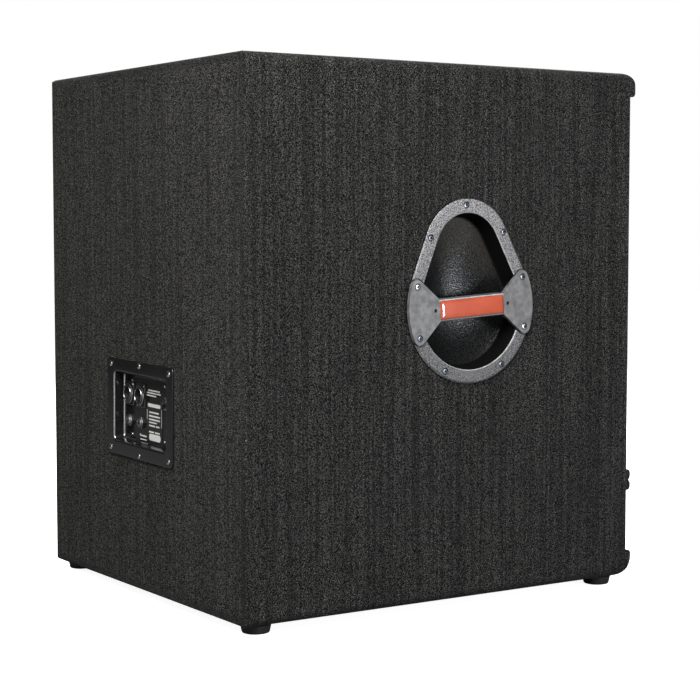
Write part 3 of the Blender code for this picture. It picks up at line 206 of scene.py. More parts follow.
def flange_material():
    """Leather-grain moulding of a handle's flange, with painted light that makes it paler up its height,
    between two levels.
    """
    roughness, contrast = 0.5, 0.8
    graph = Graph("handle_flange", roughness)
    cells = graph.add("TexVoronoi", Vector=graph.place, Scale=640).outputs["Distance"]
    fine = graph.noise(832, 1.0)
    pebble = graph.weighted(cells, 0.5, fine, 0.9)
    # painted light: a ramp along Z makes the flange paler towards its top, as if lit from above
    tone = graph.ramp(graph.along("Z"), [(0.33, (0.138, 0.134, 0.136)), (0.52, (0.272, 0.262, 0.266))])
    base = graph.times(tone, graph.ramp(pebble, [(0.45, 1 + contrast), (0.85, 1 - contrast)]))
    gloss = graph.ramp(fine, [(0.3, roughness * 0.8), (0.7, min(1.0, roughness * 1.25))])
    return graph.done(Base_Color=base, Roughness=gloss, Normal=graph.bump(pebble, 0.0003, 0.8))


def bowl_material():
    """Inside of a handle's bowl: fine grain, painted light that makes it brownish high up its back, and
    painted shade that makes its steep walls deep black.
    """
    graph = Graph("handle_bowl", 0.42)
    # painted shade: the steep walls, whose normals turn away from X, get near-black colour, a matt finish
    # and little reflection
    across = graph.along("X", graph.add("TexCoord").outputs["Normal"])
    facing_out = graph.ramp(graph.math("ABSOLUTE", across), [(0.60, 0.0), (0.86, 1.0)])
    # painted light: the back is brownish high up and near-black lower down
    browns = [(0.42, 0.004), (0.46, (0.020, 0.018, 0.014)), (0.50, (0.060, 0.054, 0.043))]
    back = graph.ramp(graph.along("Z"), browns)
    grain = graph.noise(520, 1.0)
    grain_and_painted_light = graph.times(back, graph.ramp(grain, [(0.35, 0.75), (0.65, 1.25)]))
    glints = graph.ramp(graph.noise(700, 0.0), [(0.42, 0.25), (0.62, 1.0)])
    return graph.done(Base_Color=graph.mix(facing_out, 0.0025, grain_and_painted_light),
                      Roughness=graph.mix(facing_out, 0.85, 0.36),
                      Specular_IOR_Level=graph.mix(facing_out, 0.08, glints),
                      Normal=graph.bump(grain, 0.0005, 0.9))


def metal(name, colour, roughness, scratch=0.3):
    """Plated or turned metal with fine brushing."""
    graph = Graph(name, roughness, 1.0)
    streaks = graph.noise(900, 3.0, (1, 0.1, 1))
    base = graph.ramp(graph.noise(45, 4.0), [(0.3, scaled(colour, 0.8)), (0.7, colour)])
    gloss = graph.ramp(streaks, [(0.3, roughness * 0.7), (0.7, min(1.0, roughness * 1.4))])
    return graph.done(Base_Color=base, Roughness=gloss, Normal=graph.bump(streaks, 0.0001, scratch))


def painted_steel():
    """Black powder coat with its fine orange peel."""
    graph = Graph("grille_paint", 0.5)
    base = graph.ramp(graph.noise(12, 3.0), [(0.3, 0.012), (0.7, 0.02)])
    peel = graph.bump(graph.noise(850, 2.0), 0.0002, 0.6)
    return graph.done(Base_Color=base, Normal=peel, Coat_Weight=0.1)


def rubber():
    """Moulded rubber, dusty on its raised parts."""
    graph = Graph("rubber", 0.75)
    dust = graph.noise(160, 5.0)
    base = graph.ramp(dust, [(0.35, 0.008), (0.75, 0.024)])
    return graph.done(Base_Color=base, Normal=graph.bump(dust, 0.0003, 0.5))


def wood_material():
    """Birch plywood with its grain, painted black in the port and before the baffle."""
    graph = Graph("birch_ply", 0.65)
    fine = graph.noise(500, 3.0, (0.05, 1, 1))
    figure = graph.weighted(graph.noise(60, 6.0, (0.08, 1, 1)), 0.7, fine, 0.3)
    browns = [(0.3, (0.36, 0.22, 0.11)), (0.5, (0.50, 0.34, 0.19)), (0.7, (0.60, 0.44, 0.27))]
    paint = graph.ramp(fine, [(0.3, 0.010), (0.7, 0.020)])
    under_shelf = graph.math("LESS_THAN", graph.along("Z"), SHELF_HIGH.z - 0.004)
    before_back = graph.math("LESS_THAN", graph.along("Y"), SHELF_HIGH.y + 0.002)
    in_front = graph.math("LESS_THAN", graph.along("Y"), BAFFLE_Y + 0.004)
    painted = graph.math("MAXIMUM", graph.math("MULTIPLY", under_shelf, before_back), in_front)
    colour = graph.mix(painted, graph.ramp(figure, browns), paint)
    return graph.done(Base_Color=colour, Normal=graph.bump(figure, 0.0003, 0.4))


def paper_cone():
    """Pressed pulp, with fibres and a faint coat."""
    graph = Graph("cone_paper", 0.8)
    pulp = graph.noise(330, 6.0)
    base = graph.ramp(pulp, [(0.3, 0.014), (0.7, 0.034)])
    return graph.done(Base_Color=base, Normal=graph.bump(pulp, 0.0006, 0.7), Sheen_Weight=0.1)


def badge_material():
    """Orange-red foil under a clear dome."""
    graph = Graph("badge", 0.16)
    foil = graph.noise(30, 4.0)
    base = graph.ramp(foil, [(0.3, (0.47, 0.070, 0.030)), (0.7, (0.56, 0.096, 0.045))])
    flakes = graph.ramp(graph.noise(1500, 2.0), [(0.45, (0.45, 0.05, 0.02)), (0.65, (0.95, 0.28, 0.14))])
    return graph.done(Base_Color=graph.mix(0.10, base, flakes), Coat_Weight=0.6, Coat_Roughness=0.04,
                      Normal=graph.bump(foil, 0.0001, 0.15))


def print_material(name, colour):
    """Screen-printed ink."""
    graph = Graph(name, 0.5)
    ink = graph.noise(900, 4.0)
    base = graph.ramp(ink, [(0.3, scaled(colour, 0.8)), (0.6, colour)])
    return graph.done(Base_Color=base, Normal=graph.bump(ink, 0.0001, 0.3))


def cloth_material():
    """Resin-stiffened cloth of the spider."""
    graph = Graph("spider_cloth", 0.85)
    threads = [graph.noise(1200, 1.0, stretch) for stretch in ((1, 1, 0.1), (0.1, 1, 1))]
    weave = graph.math("MULTIPLY", *threads)
    base = graph.ramp(weave, [(0.15, (0.20, 0.10, 0.03)), (0.4, (0.42, 0.26, 0.10))])
    return graph.done(Base_Color=base, Normal=graph.bump(weave, 0.0004, 0.8))


def floor_material():
    """White matt floor that fades into its white surroundings; it returns less light than it shows."""
    graph = Graph("studio_floor", 0.9)
    seen = graph.add("LightPath").outputs["Is Camera Ray"]
    colour = graph.mix(seen, 0.2, graph.ramp(graph.noise(3, 3.0), [(0.3, 0.88), (0.7, 0.92)]))
    away = graph.add("VectorMath", {"operation": "LENGTH"}, Vector=graph.place).outputs["Value"]
    far = graph.ramp(graph.math("MULTIPLY", away, 0.25), [(0.09, 0.92), (0.28, 1.0)])
    return graph.done(Base_Color=colour, Specular_IOR_Level=0.0, Emission_Color=1.0,
                      Emission_Strength=graph.math("MULTIPLY", seen, far))


LOOKS = {
    "carpet": carpet_material("carpet_wrap", "Y", (0.79, 0.767, 0.729)),
    "carpet_rear": carpet_material("carpet_rear", "X", (1.0, 0.98, 0.89), 0.6),
    "flange": flange_material(),
    "bar": plastic("handle_bar", (0.133, 0.128, 0.127), 0.42, 0.6, 650, 0.42, 110),
    # painted highlight: pale plastic for the bar's bevels and the bowl's inner lip
    "painted_highlight_rim": plastic("handle_painted_highlight", (0.40, 0.39, 0.395), 0.35, 0.3, 700, 0.25, 90),
    "bowl": bowl_material(),
    "badge": badge_material(),
    "gloss": plastic("plate_gloss", (0.010, 0.010, 0.010), 0.16, 0.12, 500),
    # painted highlight: a bright metal look for the bevels of black plastic mouldings
    "edge": metal("painted_highlight_bevel", (0.55, 0.55, 0.56), 0.30, 0.1),
    "black": plastic("black_plastic", (0.012, 0.012, 0.012), 0.38, 0.25, 900),
    "pole": plastic("pole_plastic", (0.012, 0.012, 0.012), 0.7, 0.5, 600),
    "dark_screw": metal("black_screw", (0.20, 0.215, 0.25), 0.30),
    "zinc": metal("zinc_screw", (0.78, 0.77, 0.74), 0.22),
    "steel": painted_steel(),
    "rubber": rubber(),
    "wood": wood_material(),
    "cone": paper_cone(),
    "cast": plastic("basket_paint", (0.014, 0.014, 0.015), 0.45, 0.5, 400),
    "ferrite": plastic("ferrite", (0.055, 0.055, 0.06), 0.7, 0.6, 300),
    "copper": metal("copper_wire", (0.85, 0.42, 0.22), 0.28, 0.9),
    "cloth": cloth_material(),
    "board": plastic("solder_mask", (0.02, 0.12, 0.05), 0.4, 0.2, 300),
    "ink": print_material("white_ink", (0.80, 0.80, 0.77)),
    "label": print_material("label_film", (0.020, 0.020, 0.021)),
    "cable": plastic("cable_sheath", (0.02, 0.02, 0.02), 0.55, 0.3, 300),
    "floor": floor_material(),
}


# ---- mesh building: a part is a (vertices, faces) pair ----

def add_object(name, data):
    made = bpy.data.objects.new(name, data)
    bpy.context.scene.collection.objects.link(made)
    return made


def shade(piece, angle):
    """Smooth shading, with edges sharp from an angle in degrees."""
    piece.data.shade_smooth()
    piece.data.set_sharp_from_angle(angle=math.radians(angle))


def from_bmesh(name, bm, smooth):
    """Object from a bmesh, its faces turned outward."""
    bmesh.ops.recalc_face_normals(bm, faces=bm.faces)
    mesh = bpy.data.meshes.new(name)
    bm.to_mesh(mesh)
    bm.free()
    piece = add_object(name, mesh)
    if smooth:
        shade(piece, smooth)
    return piece


def make_object(name, part, smooth=0):
    bm = bmesh.new()
    made = [bm.verts.new(point) for point in part[0]]
    for face in part[1]:
        bm.faces.new([made[index] for index in face])
    return from_bmesh(name, bm, smooth)


def part_of(piece):
    """A piece's mesh as a part, and the piece removed."""
    vertices = [tuple(vertex.co) for vertex in piece.data.vertices]
    faces = [list(face.vertices) for face in piece.data.polygons]
    bpy.data.objects.remove(piece)
    return vertices, faces


def merge(parts):
    """One part from several."""
    vertices, faces = [], []
    for more_vertices, more_faces in parts:
        start = len(vertices)
        vertices.extend(more_vertices)
        faces.extend([[index + start for index in face] for face in more_faces])
    return vertices, faces


def moved(part, matrix):
    """The part carried by a matrix."""
    return [matrix @ Vector(point) for point in part[0]], part[1]


def lofted(loops):
    """Closed skin through loops of equal length, capped at both ends."""
    count = len(loops[0])
    vertices = [point for loop in loops for point in loop]
    faces = []
    for low in range(0, len(vertices) - count, count):
        for index in range(count):
            after = (index + 1) % count
            faces.append([low + index, low + after, low + count + after, low + count + index])
    faces.append(list(range(count)))
    faces.append(list(range(len(vertices) - count, len(vertices))))
    return vertices, faces


def turned(profile, segments):
    """Closed (radius, depth) profile turned about the Y axis."""
    vertices, faces, rings = [], [], []
    for radius, depth in profile:
        start = len(vertices)
        if radius == 0:
            vertices.append((0.0, depth, 0.0))
            rings.append([start] * segments)
            continue
        for index in range(segments):
            angle = 2 * math.pi * index / segments
            vertices.append((radius * math.cos(angle), depth, radius * math.sin(angle)))
        rings.append(list(range(start, start + segments)))
    for near, far in zip(rings, rings[1:] + rings[:1]):
        for index in range(segments):
            after = (index + 1) % segments
            face = list(dict.fromkeys((near[index], near[after], far[after], far[index])))
            if len(face) > 2:
                faces.append(face)
    return vertices, faces


def turned_at(x, y, z, profile, segments):
    """Profile turned about the line along Y through a point, depths from that point."""
    return moved(turned(profile, segments), Matrix.Translation((x, y, z)))


def rounded(corners, inset=0.0, steps=8):
    """Anticlockwise (u, v, radius) corners as points, each edge moved inward by inset."""
    points = []
    count = len(corners)
    for index, (u, v, radius) in enumerate(corners):
        here = Vector((u, v))
        arriving = (here - Vector(corners[index - 1][:2])).normalized()
        leaving = (Vector(corners[(index + 1) % count][:2]) - here).normalized()
        left_in = Vector((-arriving.y, arriving.x))
        left_out = Vector((-leaving.y, leaving.x))
        corner = here + (left_in + left_out) * (inset / (1 + left_in.dot(left_out)))
        turn = math.atan2(arriving.x * leaving.y - arriving.y * leaving.x, arriving.dot(leaving))
        if radius - inset <= 0.0003 or turn < 0:
            points.append((corner.x, corner.y))
            continue
        radius -= inset
        start = corner - arriving * (radius * math.tan(turn / 2))
        centre = start + left_in * radius
        for step in range(steps + 1):
            spoke = start - centre
            spoke.rotate(Matrix.Rotation(turn * step / steps, 2))
            points.append(tuple(centre + spoke))
    return points


def quarter(last=4):
    """(sine, 1 - cosine) at the steps of a quarter turn in four, from 0 to last."""
    angles = [math.pi / 2 * step / 4 for step in range(last + 1)]
    return [(math.sin(angle), 1 - math.cos(angle)) for angle in angles]


def rectangle(width, height, radius=0.0, centre=(0.0, 0.0)):
    """Corners of a rectangle, anticlockwise."""
    signs = ((-1, -1), (1, -1), (1, 1), (-1, 1))
    return [(centre[0] + a * width / 2, centre[1] + b * height / 2, radius) for a, b in signs]


def circle(radius, centre=(0.0, 0.0), sides=24):
    """Points of a regular polygon, anticlockwise."""
    angles = [2 * math.pi * index / sides for index in range(sides)]
    return [(centre[0] + radius * math.cos(a), centre[1] + radius * math.sin(a)) for a in angles]


def extruded(axis, points, low, high):
    """Outline square to an axis, carried along it from low to high."""
    index = "XYZ".index(axis)
    return lofted([[(*point[:index], level, *point[index:]) for point in points] for level in (low, high)])


def box_part(x, y, z):
    """Box between (low, high) pairs."""
    return extruded("Z", [(x[0], y[0]), (x[1], y[0]), (x[1], y[1]), (x[0], y[1])], *z)


def apply_modifiers(piece):
    """Replace a piece's mesh by its evaluated one."""
    bpy.context.view_layer.update()
    evaluated = piece.evaluated_get(bpy.context.evaluated_depsgraph_get())
    result = bpy.data.meshes.new_from_object(evaluated)
    piece.modifiers.clear()
    old = piece.data
    piece.data = result
    bpy.data.meshes.remove(old)


def combine(piece, parts, operation="DIFFERENCE"):
    """Exact Boolean with each part in turn."""
    tools = [make_object("tool", part) for part in parts]
    for tool in tools:
        step = piece.modifiers.new("combine", "BOOLEAN")
        step.operation = operation
        step.object = tool
    apply_modifiers(piece)
    for tool in tools:
        bpy.data.objects.remove(tool)
    return piece


def weigh(piece):
    """Face-weighted normals, so that flat faces stay flat beside their rounded edges."""
    weighted = piece.modifiers.new("weigh", "WEIGHTED_NORMAL")
    weighted.keep_sharp = True
    weighted.weight = 80


def soften(piece, width, segments=2, angle=40):
    """Round a piece's sharp edges and shade it with face-weighted normals."""
    bevel = piece.modifiers.new("soften", "BEVEL")
    bevel.width = width
    bevel.segments = segments
    bevel.limit_method = "ANGLE"
    bevel.angle_limit = math.radians(angle)
    apply_modifiers(piece)
    shade(piece, 45)
    weigh(piece)


def place(piece, look, *nodes, body="root"):
    """Give a piece its look, let it ride on its body and stand in for the CAD nodes it shows."""
    piece.data.materials.clear()
    piece.data.materials.append(LOOKS[look])
    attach(piece, body)
    if nodes:
        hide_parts(*nodes)


def build(name, part, look, *nodes, smooth=35, body="root"):
    """Make a piece from a part and place it."""
    piece = make_object(name, part, smooth)
    place(piece, look, *nodes, body=body)
    return piece


# ---- carpet ----

LONG_EDGE_RADIUS = 0.013
REAR_EDGE_RADIUS = 0.008


def side_profile(inset):
    """Side view of the cabinet, with the rails as rounded bumps on its front."""
    middle = (MID_RAIL_LOW + MID_RAIL_HIGH) / 2
    bead = 0.0045
    groove = []
    if inset == 0:
        groove = [(MID_Y, middle + bead, 0.006), (MID_Y + 0.0027, middle, 0), (MID_Y, middle - bead, 0.006)]
    corners = [
        (FRONT_Y, BASE_Z, 0.028),
        (REAR_Y, BASE_Z, 0.006),
        (REAR_Y, TOP_Z, 0.006),
        (FRONT_Y, TOP_Z, 0.018),
        (FRONT_Y, TOP_RAIL_LOW, 0.005),
        (EDGE_Y, TOP_RAIL_LOW, 0),
        (EDGE_Y, MID_RAIL_HIGH, 0),
        (MID_Y, MID_RAIL_HIGH, 0.006),
        *groove,
        (MID_Y, MID_RAIL_LOW, 0.006),
        (EDGE_Y, MID_RAIL_LOW, 0),
        (EDGE_Y, BOTTOM_RAIL_HIGH, 0),
        (FRONT_Y, BOTTOM_RAIL_HIGH, 0.005),
    ]
    return rounded(corners, inset)


def edge_strip(axis, corner, outward, radius, steps=8):
    """Square strip less a quarter disc, which rounds one long edge."""
    (cu, cv), (su, sv) = corner, outward
    points = [(cu + su * PAST, cv + sv * PAST), (cu - su * radius, cv + sv * PAST)]
    for step in range(steps + 1):
        angle = math.pi / 2 * (1 - step / steps)
        u = cu - su * radius * (1 - math.cos(angle))
        points.append((u, cv - sv * radius * (1 - math.sin(angle))))
    points.append((cu + su * PAST, cv - sv * radius))
    return extruded(axis, points, -1.0, 1.0)


def envelope(name, inset):
    """The cabinet's rounded form, moved inward by inset."""
    half = SIDE_X - inset
    body = make_object(name, extruded("X", side_profile(inset), -half, half))
    strips = []
    for side in (-1, 1):
        for level, height in ((-1, BASE_Z + inset), (1, TOP_Z - inset)):
            strips.append(edge_strip("Y", (side * half, height), (side, level), LONG_EDGE_RADIUS - inset))
        corner = (side * half, REAR_Y - inset)
        strips.append(edge_strip("Z", corner, (side, 1), REAR_EDGE_RADIUS - inset))
    return combine(body, strips)


def carpet():
    """Carpet wrapped round the box and its rails, and the sheet on the rear."""
    cover = envelope("carpet_wrap", 0)
    tools = [part_of(envelope("inside", CARPET))]
    for rails in ((BOTTOM_RAIL_HIGH, MID_RAIL_LOW), (MID_RAIL_HIGH, TOP_RAIL_LOW)):
        tools.append(box_part((-OPENING_HALF, OPENING_HALF), (EDGE_Y - 0.001, EDGE_Y + PAST), rails))
    tools.append(extruded("Z", circle(POLE_FLANGE_RADIUS + 0.0006, sides=72), TOP_Z - PAST, TOP_Z + PAST))
    for side in (-1, 1):
        tools.append(on_handle(egg(HANDLE_RIM - 0.006), -PAST, PAST, side))
    combine(cover, tools)
    soften(cover, 0.0010)
    cover.modifiers.clear()
    x, z = (REAR_LOW.x, REAR_HIGH.x), (REAR_LOW.z, REAR_HIGH.z)
    combine(cover, [box_part(x, (REAR_Y - PAST, REAR_Y + PAST), z)])
    weigh(cover)
    place(cover, "carpet", "carpet_cover")
    sheet = make_object("carpet_rear_sheet", box_part(x, (REAR_LOW.y, REAR_HIGH.y), z))
    window = on_plate(rounded(rectangle(PLATE_WIDTH - 0.024, PLATE_HEIGHT - 0.026, 0.006)))
    combine(sheet, [extruded("Y", window, REAR_Y - PAST, REAR_Y + PAST)])
    place(sheet, "carpet_rear", "carpet_rear")


# ---- screws and edges ----

def screw_part(radius, height, sunk=False):
    """Screw head that stands on +Y, with a cross recess and a round pit."""
    if sunk:
        profile = [(0, height * 0.75), (radius * 0.7, height * 0.7), (radius * 0.96, height * 0.5),
                   (radius, height * 0.35), (radius * 0.5, -radius * 0.5), (0, -radius * 0.5)]
    else:
        profile = [(0, height), (radius * 0.45, height * 0.95), (radius * 0.8, height * 0.68),
                   (radius * 0.97, height * 0.3), (radius, 0), (radius * 0.45, 0),
                   (radius * 0.45, -radius * 1.5), (0, -radius * 1.6)]
    top = profile[0][1]
    length, width, deep = radius * 1.15, radius * 0.30, height * 0.6 + radius * 0.20
    recess = []
    for across, along in ((length, width), (width, length)):
        recess.append(box_part((-across / 2, across / 2), (top - deep, top + PAST), (-along / 2, along / 2)))
    recess.append(extruded("Y", circle(length * 0.42, sides=14), top - deep * 1.3, top + PAST))
    return part_of(combine(make_object("head", turned(profile, 20)), recess))


def screws(name, head, places, look, *nodes):
    """A group of equal screws, with painted shade that makes their recesses black: each place carries the
    head from +Y.
    """
    piece = build(name, merge([moved(head, matrix) for matrix in places]), look, *nodes, smooth=30)
    # painted shade: black plastic on the faces sunk in the head's recess
    piece.data.materials.append(LOOKS["black"])
    widest = max(math.hypot(x, z) for x, _, z in head[0])
    highest = max(y for _, y, _ in head[0])
    sunk = []
    for corners in head[1]:
        x, y, z = (sum(head[0][index][axis] for index in corners) / len(corners) for axis in range(3))
        sunk.append(y < highest - 0.00025 and math.hypot(x, z) < 0.6 * widest)
    for index, face in enumerate(piece.data.polygons):
        face.material_index = int(sunk[index % len(sunk)])


def facing(axis, point, spin):
    """Matrix that turns +Y to an outward axis such as '-Y', spun about it."""
    turns = {
        "+Y": Matrix.Identity(4),
        "-Y": Matrix.Rotation(math.pi, 4, "Z"),
        "+Z": Matrix.Rotation(math.pi / 2, 4, "X"),
        "-Z": Matrix.Rotation(-math.pi / 2, 4, "X"),
    }
    return Matrix.Translation(point) @ turns[axis] @ Matrix.Rotation(spin, 4, "Y")


def spin_of(index):
    """A different angle for each screw in a row."""
    return 0.9 * index + 0.35 * math.sin(3.1 * index)


def polish(piece, axis=1, edge="edge", steepest=0.25):
    """Give a piece's bevels, the faces aslant to an axis, a paler material: a painted highlight along the
    edge.
    """
    piece.data.materials.append(LOOKS[edge])
    last = len(piece.data.materials) - 1
    for face in piece.data.polygons:
        if face.material_index == 0 and steepest < abs(face.normal[axis]) < 0.97:
            face.material_index = last


# ---- handles: (u toward the front, v up, w outward) from the middle of the bar ----

BAR_LOW, BAR_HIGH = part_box("handle_bar_right")
HANDLE_Y = (BAR_LOW.y + BAR_HIGH.y) / 2
HANDLE_Z = (BAR_LOW.z + BAR_HIGH.z) / 2
HANDLE_TILT = {-1: math.radians(3.5), 1: 0.0}
HANDLE_RISE = 0.0695  # height of the flange's top circle over its low one
HANDLE_TOP_RADIUS = 0.069
HANDLE_LOW_RADIUS = 0.0985
HANDLE_RIM = 0.0185
HANDLE_FLANGE = 0.0038
LIP = 0.0016
RING_SCREWS = ((0.0, 0.130), (-0.058, 0.092), (0.058, 0.092), (-0.045, -0.078), (0.045, -0.078))
EAR_SCREW = (0.0836, 0.0324)
EAR_CORNER = 0.0086
BAR_HALF = 0.052
BAR_HEIGHT = 0.028
BAR_TOP = 0.0068
BADGE = (0.100, 0.023)
BOWL_STEPS = 3  # of its wall, each of them a little inward and down
BOWL_STEP_IN = 0.0010
BOWL_STEP_DOWN = 0.0055
BOWL_FILLET = 0.009
BOWL_TURN = math.radians(62)  # of the fillet, from the wall to the dished floor
BOWL_SAG = 0.022
BOWL_MIDDLE = 0.004
BOWL_THICK = 0.0025
SEAT_RADIUS = 0.0047
SIGNS = ((-1, -1), (-1, 1), (1, -1), (1, 1))


def handle_matrix(side):
    """Carries (u, v, w) to a handle's place."""
    axes = Matrix(((0, 0, side), (-1, 0, 0), (0, 1, 0))).to_4x4()
    turn = Matrix.Rotation(HANDLE_TILT[side], 4, "Z")
    return Matrix.Translation((side * SIDE_X, HANDLE_Y, HANDLE_Z)) @ axes @ turn


def on_handle(outline, low, high, side):
    """Outline on a handle's face, carried outward from low to high."""
    return moved(extruded("Z", outline, low, high), handle_matrix(side))


def egg(shrink):
    """Hull of the handle's two circles, both made smaller by shrink."""
    lean = math.asin((HANDLE_LOW_RADIUS - HANDLE_TOP_RADIUS) / HANDLE_RISE)
    arcs = ((HANDLE_RISE, HANDLE_TOP_RADIUS - shrink, lean, math.pi - lean, 28),
            (0.0, HANDLE_LOW_RADIUS - shrink, math.pi - lean, 2 * math.pi + lean, 56))
    points = []
    for height, radius, start, end, steps in arcs:
        for angle in spread(start, end, steps):
            points.append((radius * math.cos(angle), height + radius * math.sin(angle)))
    return points


def spread(start, end, steps):
    return [start + (end - start) * step / steps for step in range(steps + 1)]


def bowl_levels(offset):
    """(outline, w) from the bowl's mouth to the middle of its dished floor, moved outward by offset."""
    levels = [(egg(HANDLE_RIM - offset), 0.0)]
    for step in range(1, BOWL_STEPS + 1):
        levels.append((egg(HANDLE_RIM + BOWL_STEP_IN * step - offset), -BOWL_STEP_DOWN * step))
    for angle in spread(0.0, BOWL_TURN, 7)[1:]:
        inward = BOWL_STEP_IN * BOWL_STEPS + BOWL_FILLET * (1 - math.cos(angle))
        height = -BOWL_STEP_DOWN * BOWL_STEPS - BOWL_FILLET * math.sin(angle) - offset
        levels.append((egg(HANDLE_RIM + inward - offset), height))
    rim, height = levels[-1]
    for part in spread(0.0, 0.9, 9)[1:]:
        scale = 1 - part
        outline = [(u * scale, BOWL_MIDDLE + (v - BOWL_MIDDLE) * scale) for u, v in rim]
        levels.append((outline, height - BOWL_SAG * (1 - scale ** 2)))
    return levels


def handle_cup(word, side):
    """Grained flange and deep bowl in one moulding, with screw seats and pockets for the ears."""
    face = HANDLE_FLANGE
    levels = [(outline, w + 0.0005) for outline, w in reversed(bowl_levels(0.0))]
    levels += [(egg(HANDLE_RIM - LIP * lag), face - LIP + LIP * rise) for rise, lag in quarter(3)]
    levels.append((egg(HANDLE_RIM - LIP), face))
    for inset, drop in ((0.0034, 0.0), (0.0022, 0.0005), (0.0006, 0.0021), (0.0, 0.0030)):
        levels.append((egg(inset), face - drop))
    levels.append((egg(0.0), GAP))
    levels += bowl_levels(BOWL_THICK)
    skin = lofted([[(u, v, w) for u, v in outline] for outline, w in levels])
    cup = make_object(f"handle_recess_{word}", moved(skin, handle_matrix(side)))
    seats = [on_handle(circle(SEAT_RADIUS, spot, 20), face - 0.0017, PAST, side) for spot in RING_SCREWS]
    for end in (-1, 1):
        pocket = [(end * u, v) for u, v in ear_outline(0.0022)]
        seats.append(on_handle(pocket, face - 0.0026, PAST, side))
    combine(cup, seats)
    shade(cup, 38)
    weigh(cup)
    place(cup, "flange", f"handle_cup_{word}")
    for look in ("bowl", "painted_highlight_rim"):
        cup.data.materials.append(LOOKS[look])
    back = handle_matrix(side).inverted()
    turn = back.to_3x3()
    for polygon in cup.data.polygons:
        centre, normal = back @ polygon.center, turn @ polygon.normal
        # The bowl takes its own look below the face. Painted shade: the floors of the screw seats and the
        # flange's low outer wall take it too, as a dark contact shadow.
        seat = centre.z < face - 0.0012 and normal.z > 0.9
        on_lip = centre.z > face - 0.0018 and 0.25 < normal.z < 0.97
        # Painted highlight: the lip's faces that turn in towards the bowl take the pale rim.
        if on_lip and normal.x * centre.x + normal.y * (centre.y - 0.03) < 0:
            polygon.material_index = 2
        elif seat or centre.z < 0.0014:
            polygon.material_index = 1


def ear_outline(grow=0.0):
    """One ear, right-hand side: straight edges in to the bar, corners round the screws."""
    radius = EAR_CORNER + grow
    root = Vector((BAR_HALF - 0.001, BAR_HEIGHT / 2 + grow))
    screw = Vector(EAR_SCREW)
    reach = screw - root
    start = math.atan2(reach.y, reach.x) + math.asin(radius / reach.length) + math.pi / 2
    end = math.atan2(screw.y, screw.x)
    upper = [tuple(root)]
    for angle in spread(start, end, 10):
        upper.append((screw.x + radius * math.cos(angle), screw.y + radius * math.sin(angle)))
    outer = screw.length + radius
    for angle in spread(end, 0.0, 8)[1:-1]:
        upper.append((outer * math.cos(angle), outer * math.sin(angle)))
    return upper + [(outer, 0.0)] + [(u, -v) for u, v in reversed(upper)]


def handle_bar(word, side):
    """Grip with an ear at each end, a seat for the badge and counterbores for the screws."""
    depth = 0.014
    grip = rounded(rectangle(BAR_HEIGHT, BAR_TOP + depth, 0.0035, (0, (BAR_TOP - depth) / 2)))
    part = moved(extruded("X", grip, -BAR_HALF, BAR_HALF), handle_matrix(side))
    bar = make_object(f"handle_grip_{word}", part)
    ears = []
    for end in (-1, 1):
        outline = [(end * u, v) for u, v in ear_outline()]
        ears.append(on_handle(outline, HANDLE_FLANGE - 0.0024, BAR_TOP - 0.0002, side))
    combine(bar, ears, "UNION")
    seat = rounded(rectangle(BADGE[0] + 0.0012, BADGE[1] + 0.0012, 0.001))
    holes = [(seat, 0.0014)]
    for a, b in SIGNS:
        holes.append((circle(0.0046, (a * EAR_SCREW[0], b * EAR_SCREW[1]), 20), 0.0018))
    holes += [(circle(0.0025, (end * 0.0575, 0.0), 14), 0.004) for end in (-1, 1)]
    combine(bar, [on_handle(outline, BAR_TOP - sunk, PAST, side) for outline, sunk in holes])
    soften(bar, 0.0011, 3, 35)
    place(bar, "bar", f"handle_bar_{word}")
    # painted highlight: the bar's bevels get the pale rim material
    polish(bar, 0, "painted_highlight_rim", 0.5)


def handle_badge(word, side):
    """Clear-domed badge, left blank."""
    loops = []
    for inset, w in ((0.0, -0.0013), (0.0, -0.0002), (0.0004, 0.0003), (0.0012, 0.0007), (0.0028, 0.0010),
                     (0.0060, 0.0012)):
        outline = rounded(rectangle(*BADGE, 0.0018), inset, 5)
        if inset > 0.0015:
            outline = rounded(rectangle(BADGE[0] - 2 * inset, BADGE[1] - 2 * inset, 0.0004), 0, 5)
        loops.append([(u, v, BAR_TOP + w) for u, v in outline])
    part = moved(lofted(loops), handle_matrix(side))
    weigh(build(f"badge_dome_{word}", part, "badge", f"handle_badge_{word}", smooth=50))


def handle_screws(word, side):
    """Screws in the flange and the ears: black ones, and two bright ones in the ears."""
    matrix = handle_matrix(side) @ Matrix.Rotation(math.pi / 2, 4, "X")
    spots = [(u, v, HANDLE_FLANGE) for u, v in RING_SCREWS]
    spots += [(a * EAR_SCREW[0], b * EAR_SCREW[1], BAR_TOP) for a, b in SIGNS]
    bright = (len(RING_SCREWS) + 1, len(RING_SCREWS) + 2)
    groups = {"black": [], "zinc": []}
    for index, (u, v, face) in enumerate(spots):
        here = matrix @ Matrix.Translation((u, face - 0.0012, -v)) @ Matrix.Rotation(spin_of(index), 4, "Y")
        groups["zinc" if index in bright else "black"].append(here)
    head = screw_part(0.0038, 0.0016, True)
    screws(f"handle_screws_black_{word}", head, groups["black"], "dark_screw")
    screws(f"handle_screws_zinc_{word}", head, groups["zinc"], "zinc")


def handles():
    for word, side in (("left", -1), ("right", 1)):
        for make in (handle_cup, handle_bar, handle_badge, handle_screws):
            make(word, side)


# ---- jack plate ----

